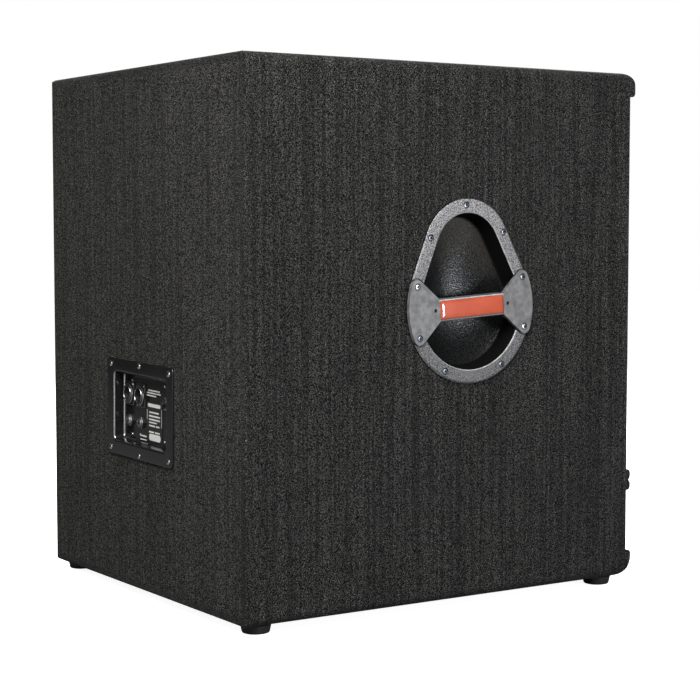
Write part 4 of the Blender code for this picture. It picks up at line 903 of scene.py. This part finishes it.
PLATE_LOW, PLATE_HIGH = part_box("jack_plate")
LABEL_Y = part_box("rating_label")[0].y
SOCKETS = [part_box(f"speaker_socket_{index}") for index in (1, 2)]
JACKS = [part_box(f"phone_jack_{index}") for index in (1, 2)]
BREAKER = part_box("breaker_body")
PLATE_WIDTH = 0.186
PLATE_HEIGHT = 0.130
PLATE_CORNER = 0.0075
PLATE_TILT = math.radians(1.1)
PLATE_FACE = PLATE_HIGH.y
TRAY_Y = LABEL_Y - GAP
TRAY = (0.151, 0.094)
TRAY_FLOOR = (0.1475, 0.088)
TRAY_EDGE = 0.0030


def centre_of(box):
    """(x, z) middle of a box."""
    return (box[0].x + box[1].x) / 2, (box[0].z + box[1].z) / 2


def on_plate(points):
    """(x, z) on the rear of points given from the plate's centre: the plate sits a little askew."""
    x, z = centre_of((PLATE_LOW, PLATE_HIGH))
    turn, lean = math.cos(PLATE_TILT), math.sin(PLATE_TILT)
    return [(x + u * turn - v * lean, z + u * lean + v * turn) for u, v in points]


def plate_loop(width, height, radius, y):
    return [(x, y, z) for x, z in on_plate(rounded(rectangle(width, height, radius)))]


def jack_plate():
    """Gloss moulding: flange with a rounded lip, tapered tray walls and a filleted floor."""
    width, height = TRAY_FLOOR
    inner = width - 2 * TRAY_EDGE, height - 2 * TRAY_EDGE
    loops = []
    for rise, lag in quarter():
        grow = TRAY_EDGE * rise
        loops.append(plate_loop(inner[0] + 2 * grow, inner[1] + 2 * grow, TRAY_EDGE + grow,
                                TRAY_Y + TRAY_EDGE * lag))
    for rise, lag in quarter():
        grow = TRAY_EDGE * lag
        loops.append(plate_loop(TRAY[0] - 0.003 + 2 * grow, TRAY[1] - 0.002 + 2 * grow, 0.006 + grow,
                                PLATE_FACE - TRAY_EDGE * (1 - rise)))
    for inset, drop in ((0.0016, 0.0), (0.0006, 0.0003), (0.0, 0.0012)):
        loops.append(plate_loop(PLATE_WIDTH - 2 * inset, PLATE_HEIGHT - 2 * inset, PLATE_CORNER - inset,
                                PLATE_FACE - drop))
    loops.append(plate_loop(PLATE_WIDTH, PLATE_HEIGHT, PLATE_CORNER, REAR_Y + GAP))
    loops.append(plate_loop(TRAY[0] + 0.005, TRAY[1] + 0.005, 0.007, REAR_Y + GAP))
    loops.append(plate_loop(width + 0.005, height + 0.005, 0.005, PLATE_LOW.y))
    plate = make_object("jack_panel", lofted(loops))
    holes = [(box, 0.0122) for box in SOCKETS] + [(box, 0.0062) for box in JACKS + [BREAKER]]
    combine(plate, [extruded("Y", circle(radius, centre_of(box)), TRAY_Y - PAST, TRAY_Y + 0.004)
                    for box, radius in holes])
    shade(plate, 40)
    weigh(plate)
    place(plate, "gloss", "jack_plate")
    # painted highlight: the plate's bevels get the bright bevel material, and only the tray's upright ones
    # keep it
    polish(plate)
    middle = centre_of((PLATE_LOW, PLATE_HIGH))[0]
    for face in plate.data.polygons:
        upright = abs(face.normal.x) > abs(face.normal.z)
        if not (upright and abs(face.center.x - middle) < TRAY[0] / 2 + 0.003):
            face.material_index = 0


def speaker_socket(index, box):
    """Locking socket: square flange, ringed collar, deep keyed ring round a core."""
    x, z = centre_of(box)
    profile = [
        (0.0, 0.0010), (0.0030, 0.0012), (0.0046, 0.0008), (0.0050, 0.0), (0.0050, -0.0150),
        (0.0093, -0.0150), (0.0093, 0.0058), (0.0096, 0.0064), (0.0106, 0.0066), (0.0110, 0.0060),
        (0.0112, 0.0050), (0.0124, 0.0050), (0.0132, 0.0044), (0.0135, 0.0030), (0.0135, 0.0018),
        (0.0118, 0.0014), (0.0118, -0.0190), (0.0, -0.0190),
    ]
    body = make_object("socket", turned(profile, 56))
    key = box_part((-0.0016, 0.0016), (-0.014, 0.0052), (0.0084, 0.0096))
    combine(body, [key], "UNION")
    ring = pierced(rounded(rectangle(0.026, 0.031, 0.0016)), 0.0, 0.0022, 0.0112)
    here = Matrix.Translation((x, TRAY_Y + GAP, z)) @ Matrix.Rotation(-PLATE_TILT, 4, "Y")
    part = moved(merge([part_of(body), ring]), here)
    # painted highlight: bright bevel material on the socket's bevels
    polish(build(f"speaker_socket_face_{index}", part, "black", f"speaker_socket_{index}"))


def pierced(outline, low, high, bore):
    """Flat part along Y with a round bore and softened edges."""
    piece = make_object("pierced", extruded("Y", outline, low, high))
    combine(piece, [extruded("Y", circle(bore), -0.01, 0.01)])
    soften(piece, 0.0004)
    apply_modifiers(piece)
    return part_of(piece)


def phone_jack(index, box):
    """Threaded bush with a hexagon nut and a bright sleeve inside."""
    x, z = centre_of(box)
    here = Matrix.Translation((x, TRAY_Y, z))
    profile = [(0.0, -0.0240), (0.0, -0.0180), (0.0033, -0.0180), (0.0033, 0.0048), (0.0036, 0.0054),
               (0.0052, 0.0054)]
    for turn in range(3):
        depth = 0.0050 - 0.0007 * turn
        profile += [(0.0058, depth), (0.0055, depth - 0.00035)]
    profile += [(0.0059, 0.0032), (0.0059, -0.0028), (0.0078, -0.0028), (0.0078, -0.0240)]
    nut = pierced(circle(0.0088, sides=6), 0.0002, 0.0034, 0.0058)
    part = moved(merge([turned(profile, 32), nut]), here)
    # painted highlight: bright bevel material on the bush's and nut's bevels
    polish(build(f"jack_bush_{index}", part, "black", f"phone_jack_{index}", smooth=30))
    sleeve = [(0.0026, 0.0054), (0.0034, 0.0058), (0.0040, 0.0057), (0.0040, 0.0050), (0.0032, 0.0048),
              (0.0032, -0.016), (0.0026, -0.016)]
    build(f"jack_sleeve_{index}", turned_at(x, TRAY_Y, z, sleeve, 32), "zinc", smooth=30)


def breaker():
    """Breaker's bezel and its button, which travels."""
    x, z = centre_of(BREAKER)
    bezel = [(0.0, -0.0200), (0.0, -0.0110), (0.0046, -0.0110), (0.0046, 0.0046), (0.0050, 0.0052),
             (0.0068, 0.0052), (0.0070, 0.0046), (0.0078, 0.0042), (0.0086, 0.0032), (0.0088, 0.0020),
             (0.0088, GAP), (0.0060, GAP), (0.0060, -0.0028), (0.0095, -0.0028), (0.0095, -0.0200)]
    # painted highlight: bright bevel material on the bezel's bevels
    polish(build("breaker_bezel", turned_at(x, TRAY_Y, z, bezel, 48), "black", "breaker_body", smooth=30))
    button = [(0.0, -0.0070), (0.0040, -0.0070), (0.0040, 0.0076), (0.0037, 0.0084), (0.0030, 0.0088),
              (0.0018, 0.0086), (0.0, 0.0085)]
    part = turned_at(x, TRAY_Y, z, button, 40)
    build("reset_plunger", part, "black", "reset_button", smooth=30, body="button")


def tray_print():
    """Blank rating plate and a plain mark above it, printed as bars: no lettering."""
    thick = 0.0003
    film = on_plate(rounded(rectangle(0.044, 0.051, 0.002, (-0.014, -0.0145))))
    part = extruded("Y", film, LABEL_Y, LABEL_Y + thick)
    build("rating_film", part, "label", "rating_label", smooth=30)
    on_film = [  # (left, right, bottom, top) from the plate's centre
        (0.0044, -0.0305, 0.0048, 0.0094), (0.0072, 0.0060, -0.0120, 0.0010),
        (-0.0338, -0.0346, -0.0203, 0.0040), (0.0008, -0.0265, -0.0030, -0.0012),
        (0.0015, -0.0301, -0.0079, -0.0059), (0.0015, -0.0292, -0.0124, -0.0105),
        (0.0015, -0.0207, -0.0163, -0.0146), (0.0015, -0.0160, -0.0208, -0.0188),
        (-0.0185, -0.0285, -0.0208, -0.0188), (0.0015, -0.0130, -0.0289, -0.0270),
        (-0.0155, -0.0295, -0.0289, -0.0270), (0.0010, -0.0315, -0.0392, -0.0305),
    ]
    on_floor = [
        (0.0274, 0.0090, -0.0368, -0.0350), (0.0290, 0.0262, -0.0370, -0.0335),
        (0.0274, 0.0090, -0.0415, -0.0400), (0.0050, -0.0280, 0.0255, 0.0275),
        (0.0085, -0.0310, 0.0222, 0.0240), (0.0095, -0.0170, 0.0186, 0.0206),
    ]
    bars = []
    for base, group in ((LABEL_Y + thick, on_film), (TRAY_Y, on_floor)):
        for left, right, bottom, top in group:
            size = left - right, top - bottom
            bar = rectangle(*size, min(size) * 0.4, ((left + right) / 2, (bottom + top) / 2))
            bars.append(extruded("Y", on_plate(rounded(bar, 0, 3)), base + 0.00002, base + 0.00008))
    build("rating_bars", merge(bars), "ink", smooth=30)


def plate_screws():
    """Bright pan-head screws round the plate, and small ones in the tray's floor and the sockets."""
    names = [f"plate_screw_{index}" for index in range(1, 7)]
    places = []
    for index, name in enumerate(names, 1):
        x, z = centre_of(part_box(name))
        places.append(facing("+Y", (x, PLATE_FACE + 0.0001, z), spin_of(index)))
    screws("plate_screw_heads", screw_part(0.0041, 0.0019), places, "zinc", *names)
    corners = ((0.0505, 0.0353), (0.0505, -0.0371), (-0.0425, 0.0352), (-0.0414, -0.0374))
    small = []
    for index, (x, z) in enumerate(on_plate(corners)):
        small.append(facing("+Y", (x, TRAY_Y + 0.0001, z), spin_of(index)))
    screws("tray_screws", screw_part(0.0024, 0.0014), small, "zinc")
    tiny = []
    for x, z in map(centre_of, SOCKETS):
        for a, b in ((-1, 1), (1, -1)):
            tiny.append(facing("+Y", (x + a * 0.0098, TRAY_Y + 0.0025, z + b * 0.0125), spin_of(a + 2)))
    screws("socket_screws", screw_part(0.0018, 0.0010), tiny, "zinc")


# ---- feet, pole socket ----

POLE_RADIUS = 0.0178
POLE_FLANGE_RADIUS = 0.045
UPRIGHT = Matrix.Rotation(math.pi / 2, 4, "X")


def feet():
    """Rubber feet and the washer-head screws in their recesses."""
    profile = [(0.0027, 0.0107), (0.0027, 0.0052), (0.0066, 0.0050), (0.0070, 0.0006), (0.0076, 0.0),
               (0.0150, 0.0), (0.0164, 0.0005), (0.0172, 0.0016), (0.0187, 0.0085), (0.0190, 0.0100),
               (0.0190, 0.0107)]
    names = ("front_left", "front_right", "rear_left", "rear_right")
    places = []
    for index, name in enumerate(names):
        low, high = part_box("foot_" + name)
        middle = Vector(((low.x + high.x) / 2, (low.y + high.y) / 2, 0))
        part = moved(turned(profile, 56), Matrix.Translation(middle) @ UPRIGHT)
        build("rubber_foot_" + name, part, "rubber", "foot_" + name)
        places.append(facing("-Z", middle + Vector((0, 0, 0.0050)), spin_of(index)))
    nodes = ["foot_screw_" + name for name in names]
    screws("foot_screw_heads", screw_part(0.0045, 0.0022), places, "zinc", *nodes)


def pole_socket():
    """Top-hat moulding for a satellite pole, let into the carpet, with four sunk screws."""
    low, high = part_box("pole_socket")
    seat = TOP_Z - CARPET
    thick, depth = high.z - seat, seat - low.z
    bore, radius = POLE_RADIUS, POLE_FLANGE_RADIUS
    profile = [(0.0, 0.0025 - depth), (bore, 0.0025 - depth), (bore, thick - 0.0016),
               (bore + 0.0005, thick - 0.0006), (bore + 0.0016, thick), (0.0300, thick),
               (0.0306, thick - 0.0004), (0.0312, thick - 0.0004), (0.0318, thick),
               (radius - 0.0012, thick), (radius - 0.0004, thick - 0.0004), (radius, thick - 0.0012),
               (radius, 0.0), (0.0203, 0.0), (0.0203, -depth), (0.0, -depth)]
    piece = make_object("pole_cup", moved(turned(profile, 72), Matrix.Translation((0, 0, seat)) @ UPRIGHT))
    places, seats = [], []
    for index in range(4):
        angle = math.pi / 4 + index * math.pi / 2
        spot = 0.0385 * math.cos(angle), 0.0385 * math.sin(angle)
        places.append(facing("+Z", (*spot, high.z - 0.0012), spin_of(index)))
        seats.append(extruded("Z", circle(0.0042, spot), high.z - 0.0016, high.z + PAST))
    combine(piece, seats)
    shade(piece, 32)
    place(piece, "pole", "pole_socket")
    screws("pole_cup_screws", screw_part(0.0036, 0.0015, True), places, "dark_screw")


# ---- grille ----

HOLE_PITCH = 0.0085
HOLE_RADIUS = 0.0029
SHEET = 0.0015
GRILLE_BORDER = 0.010


class Sheet:
    """A bmesh whose points are one where they meet."""

    def __init__(self):
        self.bm = bmesh.new()
        self.found = {}

    def vertex(self, point):
        key = tuple(round(value * 1e6 / 20) for value in point)
        if key not in self.found:
            self.found[key] = self.bm.verts.new(point)
        return self.found[key]

    def band(self, near, far):
        """Faces between two closed rows of points of equal length."""
        for k in range(len(near)):
            after = (k + 1) % len(near)
            self.bm.faces.new([self.vertex(point) for point in (near[k], near[after], far[after], far[k])])

    def fill(self, corners):
        """Flat faces between a rectangle and the open edges in its plane."""
        y = corners[0][1]
        inner = [edge for edge in self.bm.edges if len(edge.link_faces) == 1
                 and all(abs(vertex.co.y - y) < 1e-6 for vertex in edge.verts)]
        outer = [self.vertex(point) for point in corners]
        sides = [self.bm.edges.new((outer[k], outer[(k + 1) % 4])) for k in range(4)]
        bmesh.ops.triangle_fill(self.bm, use_beauty=True, use_dissolve=False, edges=inner + sides)


def perforate(sheet, half, low, high, front):
    """Staggered round holes, each in a hexagon of the sheet."""
    apothem = HOLE_PITCH / 2
    side = apothem / math.cos(math.pi / 6)
    row_step = 1.5 * side
    columns = int((2 * half - 2 * GRILLE_BORDER) / HOLE_PITCH)
    rows = int((high - low - 2 * GRILLE_BORDER - side) / row_step)
    start_z = (low + high) / 2 - (rows - 1) * row_step / 2
    rim = [(apothem, 0.0)]
    for k in range(6):
        angle = math.pi / 6 + math.pi / 3 * k
        rim.append((side * math.cos(angle), side * math.sin(angle)))
        if k == 2:
            rim.append((-apothem, 0.0))
    angles = [math.atan2(z, x) for x, z in rim]
    hole = [(HOLE_RADIUS * math.cos(angle), HOLE_RADIUS * math.sin(angle)) for angle in angles]
    for row in range(rows):
        cz = start_z + row * row_step
        for column in range(columns - row % 2):
            cx = -half + GRILLE_BORDER + apothem + column * HOLE_PITCH + (row % 2) * apothem
            cx += ((2 * half - 2 * GRILLE_BORDER) - columns * HOLE_PITCH) / 2
            rings = []
            for y in (front, front + SHEET):
                rings.append([(cx + x, y, cz + z) for x, z in hole])
                sheet.band([(cx + x, y, cz + z) for x, z in rim], rings[-1])
            sheet.band(*rings)


def grille():
    """Perforated steel pan with a plain border and folded edges, and its eight screws."""
    half = GRILLE_HIGH.x
    low, high, front = GRILLE_LOW.z, GRILLE_HIGH.z, GRILLE_LOW.y
    sheet = Sheet()
    perforate(sheet, half, low, high, front)
    rims = {}
    for y, inset in ((front, 0.0), (front + SHEET, SHEET)):
        rims[y] = [(-half + inset, y, low + inset), (half - inset, y, low + inset),
                   (half - inset, y, high - inset), (-half + inset, y, high - inset)]
        sheet.fill(rims[y])
    outer, inner = rims.values()
    back = BAFFLE_Y - GAP
    outer_back, inner_back = ([(x, back, z) for x, _, z in rim] for rim in (outer, inner))
    for near, far in ((outer, outer_back), (inner, inner_back), (outer_back, inner_back)):
        sheet.band(near, far)
    place(from_bmesh("perforated_grille", sheet.bm, 0), "steel", "grille")
    spots = [(a * (half - 0.0055), b) for a in (-1, 1) for b in (low + 0.02, (low + high) / 2, high - 0.02)]
    spots += [(0.0, low + 0.0055), (0.0, high - 0.0055)]
    places = [facing("-Y", (x, front, z), spin_of(index)) for index, (x, z) in enumerate(spots)]
    screws("grille_screws", screw_part(0.0042, 0.0021), places, "dark_screw")


# ---- driver: depths are back from the baffle's front ----

CONE_LOW, CONE_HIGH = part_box("woofer_cone")
BASKET_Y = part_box("woofer_basket")[0].y
DRIVER_Z = (CONE_LOW.z + CONE_HIGH.z) / 2
DRIVER = (0, BAFFLE_Y, DRIVER_Z)
FLANGE_FRONT = BASKET_Y - BAFFLE_Y
CONE_NECK = (0.0514, 0.066)  # (radius, depth)
CONE_RIM = (0.174, -0.003)
SURROUND_OUTER = 0.202
CAP_RADIUS = 0.062
SPIDER_INNER = 0.0511
SPIDER_OUTER = 0.086
SPIDER_DEPTH = 0.0889
BOLT_CIRCLE = 0.222


def cone_depth(radius):
    """Depth of the cone's front surface at a radius."""
    part = max(0.0, (radius - CONE_NECK[0]) / (CONE_RIM[0] - CONE_NECK[0]))
    return CONE_NECK[1] + (CONE_RIM[1] - CONE_NECK[1]) * part ** 0.85


def surround_depth(radius):
    """Middle of the surround: lip on the cone, two rolls, flat edge."""
    lip = cone_depth(min(radius, CONE_RIM[0])) - 0.0012
    flat = FLANGE_FRONT - 0.001
    part = (radius - CONE_RIM[0]) / (SURROUND_OUTER - CONE_RIM[0])
    if part <= 0:
        return lip
    if part >= 1:
        return flat
    return lip + (flat - lip) * part - 0.0035 * (1 - math.cos(4 * math.pi * part))


def spider_depth(radius):
    """Middle of the spider: five waves inside a flat edge."""
    part = max(0.0, (SPIDER_OUTER - radius) / (SPIDER_OUTER - SPIDER_INNER))
    return SPIDER_DEPTH - 0.0016 * (1 - math.cos(2 * math.pi * 5 * part))


def flexing(name, depth, radii, thick, segments, look, node):
    """Thin ring that spans from a fixed radius to the cone; it is built in place and rides on no body."""
    profile = [(radius, depth(radius) - thick / 2) for radius in radii]
    profile += [(radius, depth(radius) + thick / 2) for radius in reversed(radii)]
    piece = make_object(name, turned_at(*DRIVER, profile, segments), 50)
    piece.data.materials.append(LOOKS[look])
    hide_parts(node)
    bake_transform(piece)


def driver():
    """Visible pieces of the driver, in fine rings round its axis."""
    radii = spread(CONE_NECK[0], CONE_RIM[0], 18)
    front = []
    for index, radius in enumerate(radii):
        rib = 0.0004 * (index % 2) * (index > 6)
        front.append((radius, cone_depth(radius) - rib))
    back = [(radius, cone_depth(radius) + 0.0022) for radius in reversed(radii)]
    part = turned_at(*DRIVER, front + back, 112)
    build("cone_body", part, "cone", "woofer_cone", smooth=40, body="cone")
    base = cone_depth(CAP_RADIUS) - 0.0005
    dome = [(r, base - 0.022 * (1 - (r / CAP_RADIUS) ** 2)) for r in spread(0.0, CAP_RADIUS, 12)]
    under = [(r, depth - 0.0012) for r, depth in reversed(dome)]
    part = turned_at(*DRIVER, dome + under, 80)
    build("dust_dome", part, "cone", "woofer_dust_cap", smooth=40, body="cone")
    rolls = spread(0.165, CONE_RIM[0], 3) + spread(CONE_RIM[0], SURROUND_OUTER, 28)[1:] + [0.213]
    flexing("surround_rolls", surround_depth, rolls, 0.0012, 128, "rubber", "woofer_surround")
    start = SPIDER_INNER + 0.0004
    waves = spread(start, SPIDER_OUTER, 40) + [0.098]
    flexing("spider_waves", spider_depth, waves, 0.0008, 80, "cloth", "woofer_spider")
    top, foot = FLANGE_FRONT - 0.0045, FLANGE_FRONT - 0.002
    gasket = [(0.2035, top + 0.0008), (0.2042, top), (0.2128, top), (0.2135, top + 0.0008),
              (0.2135, foot), (0.2035, foot)]
    build("gasket_ring", turned_at(*DRIVER, gasket, 128), "rubber", "woofer_gasket")
    bolts = []
    for index in range(8):
        angle = 2 * math.pi * index / 8
        spot = (BOLT_CIRCLE * math.cos(angle), BASKET_Y, DRIVER_Z + BOLT_CIRCLE * math.sin(angle))
        bolts.append(facing("-Y", spot, spin_of(index)))
    screws("driver_bolts", screw_part(0.0055, 0.0035), bolts, "dark_screw")


# ---- CAD nodes that stay ----

BOARDS = ("top_panel", "bottom_panel", "left_panel", "right_panel", "back_panel", "front_baffle",
          "port_shelf", "port_divider", "window_brace", "top_rail", "mid_rail", "bottom_rail")
ROUND_NODES = {
    "woofer_basket": "cast",
    "woofer_voice_coil": "copper",
    "woofer_top_plate": "zinc",
    "woofer_magnet": "ferrite",
    "woofer_back_plate": "zinc",
    "woofer_terminal": "black",
    "crossover_board": "board",
    "crossover_coil": "copper",
    "crossover_capacitor": "gloss",
    "speaker_cable": "cable",
    "input_cable": "cable",
}


def finish_cad_nodes():
    """Looks of the CAD nodes that stay in view, and smooth shading on the round ones."""
    for name in (*BOARDS, *ROUND_NODES):
        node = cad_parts[name]
        node.data.materials.clear()
        node.data.materials.append(LOOKS[ROUND_NODES.get(name, "wood")])
        if name in ROUND_NODES:
            shade(node, 32)


# ---- stage ----

def camera():
    """Camera behind the cabinet, to its left, a little below its top."""
    data = bpy.data.cameras.new("camera")
    data.sensor_width = 36.0
    data.lens = 92.15
    made = add_object("camera", data)
    made.location = (-2.0983, 1.3576, 0.4941)
    made.rotation_euler = (math.radians(90 - 4.045), 0.0, math.radians(236.594))
    bpy.context.scene.camera = made


def area_light(name, location, target, size, power, colour=(1, 1, 1)):
    data = bpy.data.lights.new(name, "AREA")
    data.shape = "RECTANGLE"
    data.size, data.size_y = size
    data.energy = power
    data.color = colour
    made = add_object(name, data)
    made.location = location
    aim = Vector(target) - Vector(location)
    made.rotation_euler = aim.to_track_quat("-Z", "Y").to_euler()


def surroundings():
    """White for the camera, and much darker for everything that it lights."""
    world = bpy.data.worlds.new("studio")
    world.use_nodes = True
    nodes, links = world.node_tree.nodes, world.node_tree.links
    background = nodes["Background"]
    seen = nodes.new("ShaderNodeLightPath")
    strength = nodes.new("ShaderNodeMapRange")
    strength.inputs["To Min"].default_value = 0.06
    strength.inputs["To Max"].default_value = 1.0
    links.new(seen.outputs["Is Camera Ray"], strength.inputs["Value"])
    links.new(strength.outputs["Result"], background.inputs["Strength"])
    background.inputs["Color"].default_value = rgba(1.0)
    bpy.context.scene.world = world


def stage():
    """Pale floor, white surroundings and soft boxes."""
    vertices = [(x, y, 0) for x, y, _ in rectangle(16, 16)]
    floor = make_object("floor", (vertices, [[0, 1, 2, 3]]))
    floor.data.materials.append(LOOKS["floor"])
    floor.location.z = cad_bounds[0][2] - 0.0001
    surroundings()
    area_light("key", (-1.10, 1.00, 1.50), (-0.27, 0.20, 0.42), (1.0, 1.0), 46)
    area_light("bowl_fill", (-2.28, -0.96, 0.38), (-0.27, -0.03, 0.39), (0.40, 0.45), 22, (0.90, 0.95, 1.0))
    area_light("strip", (-0.90, 2.70, 0.40), (0.0, 0.30, 0.30), (0.60, 1.4), 12)
    area_light("front_fill", (1.2, -2.4, 1.9), (0, -0.2, 0.35), (1.6, 1.2), 75)
    area_light("side_fill", (2.6, -0.4, 1.5), (0.27, 0, 0.35), (1.4, 1.2), 60)
    bpy.context.scene.view_settings.view_transform = "Standard"


carpet()
handles()
jack_plate()
for number in (1, 2):
    speaker_socket(number, SOCKETS[number - 1])
    phone_jack(number, JACKS[number - 1])
breaker()
tray_print()
plate_screws()
feet()
pole_socket()
grille()
driver()
finish_cad_nodes()
stage()
camera()
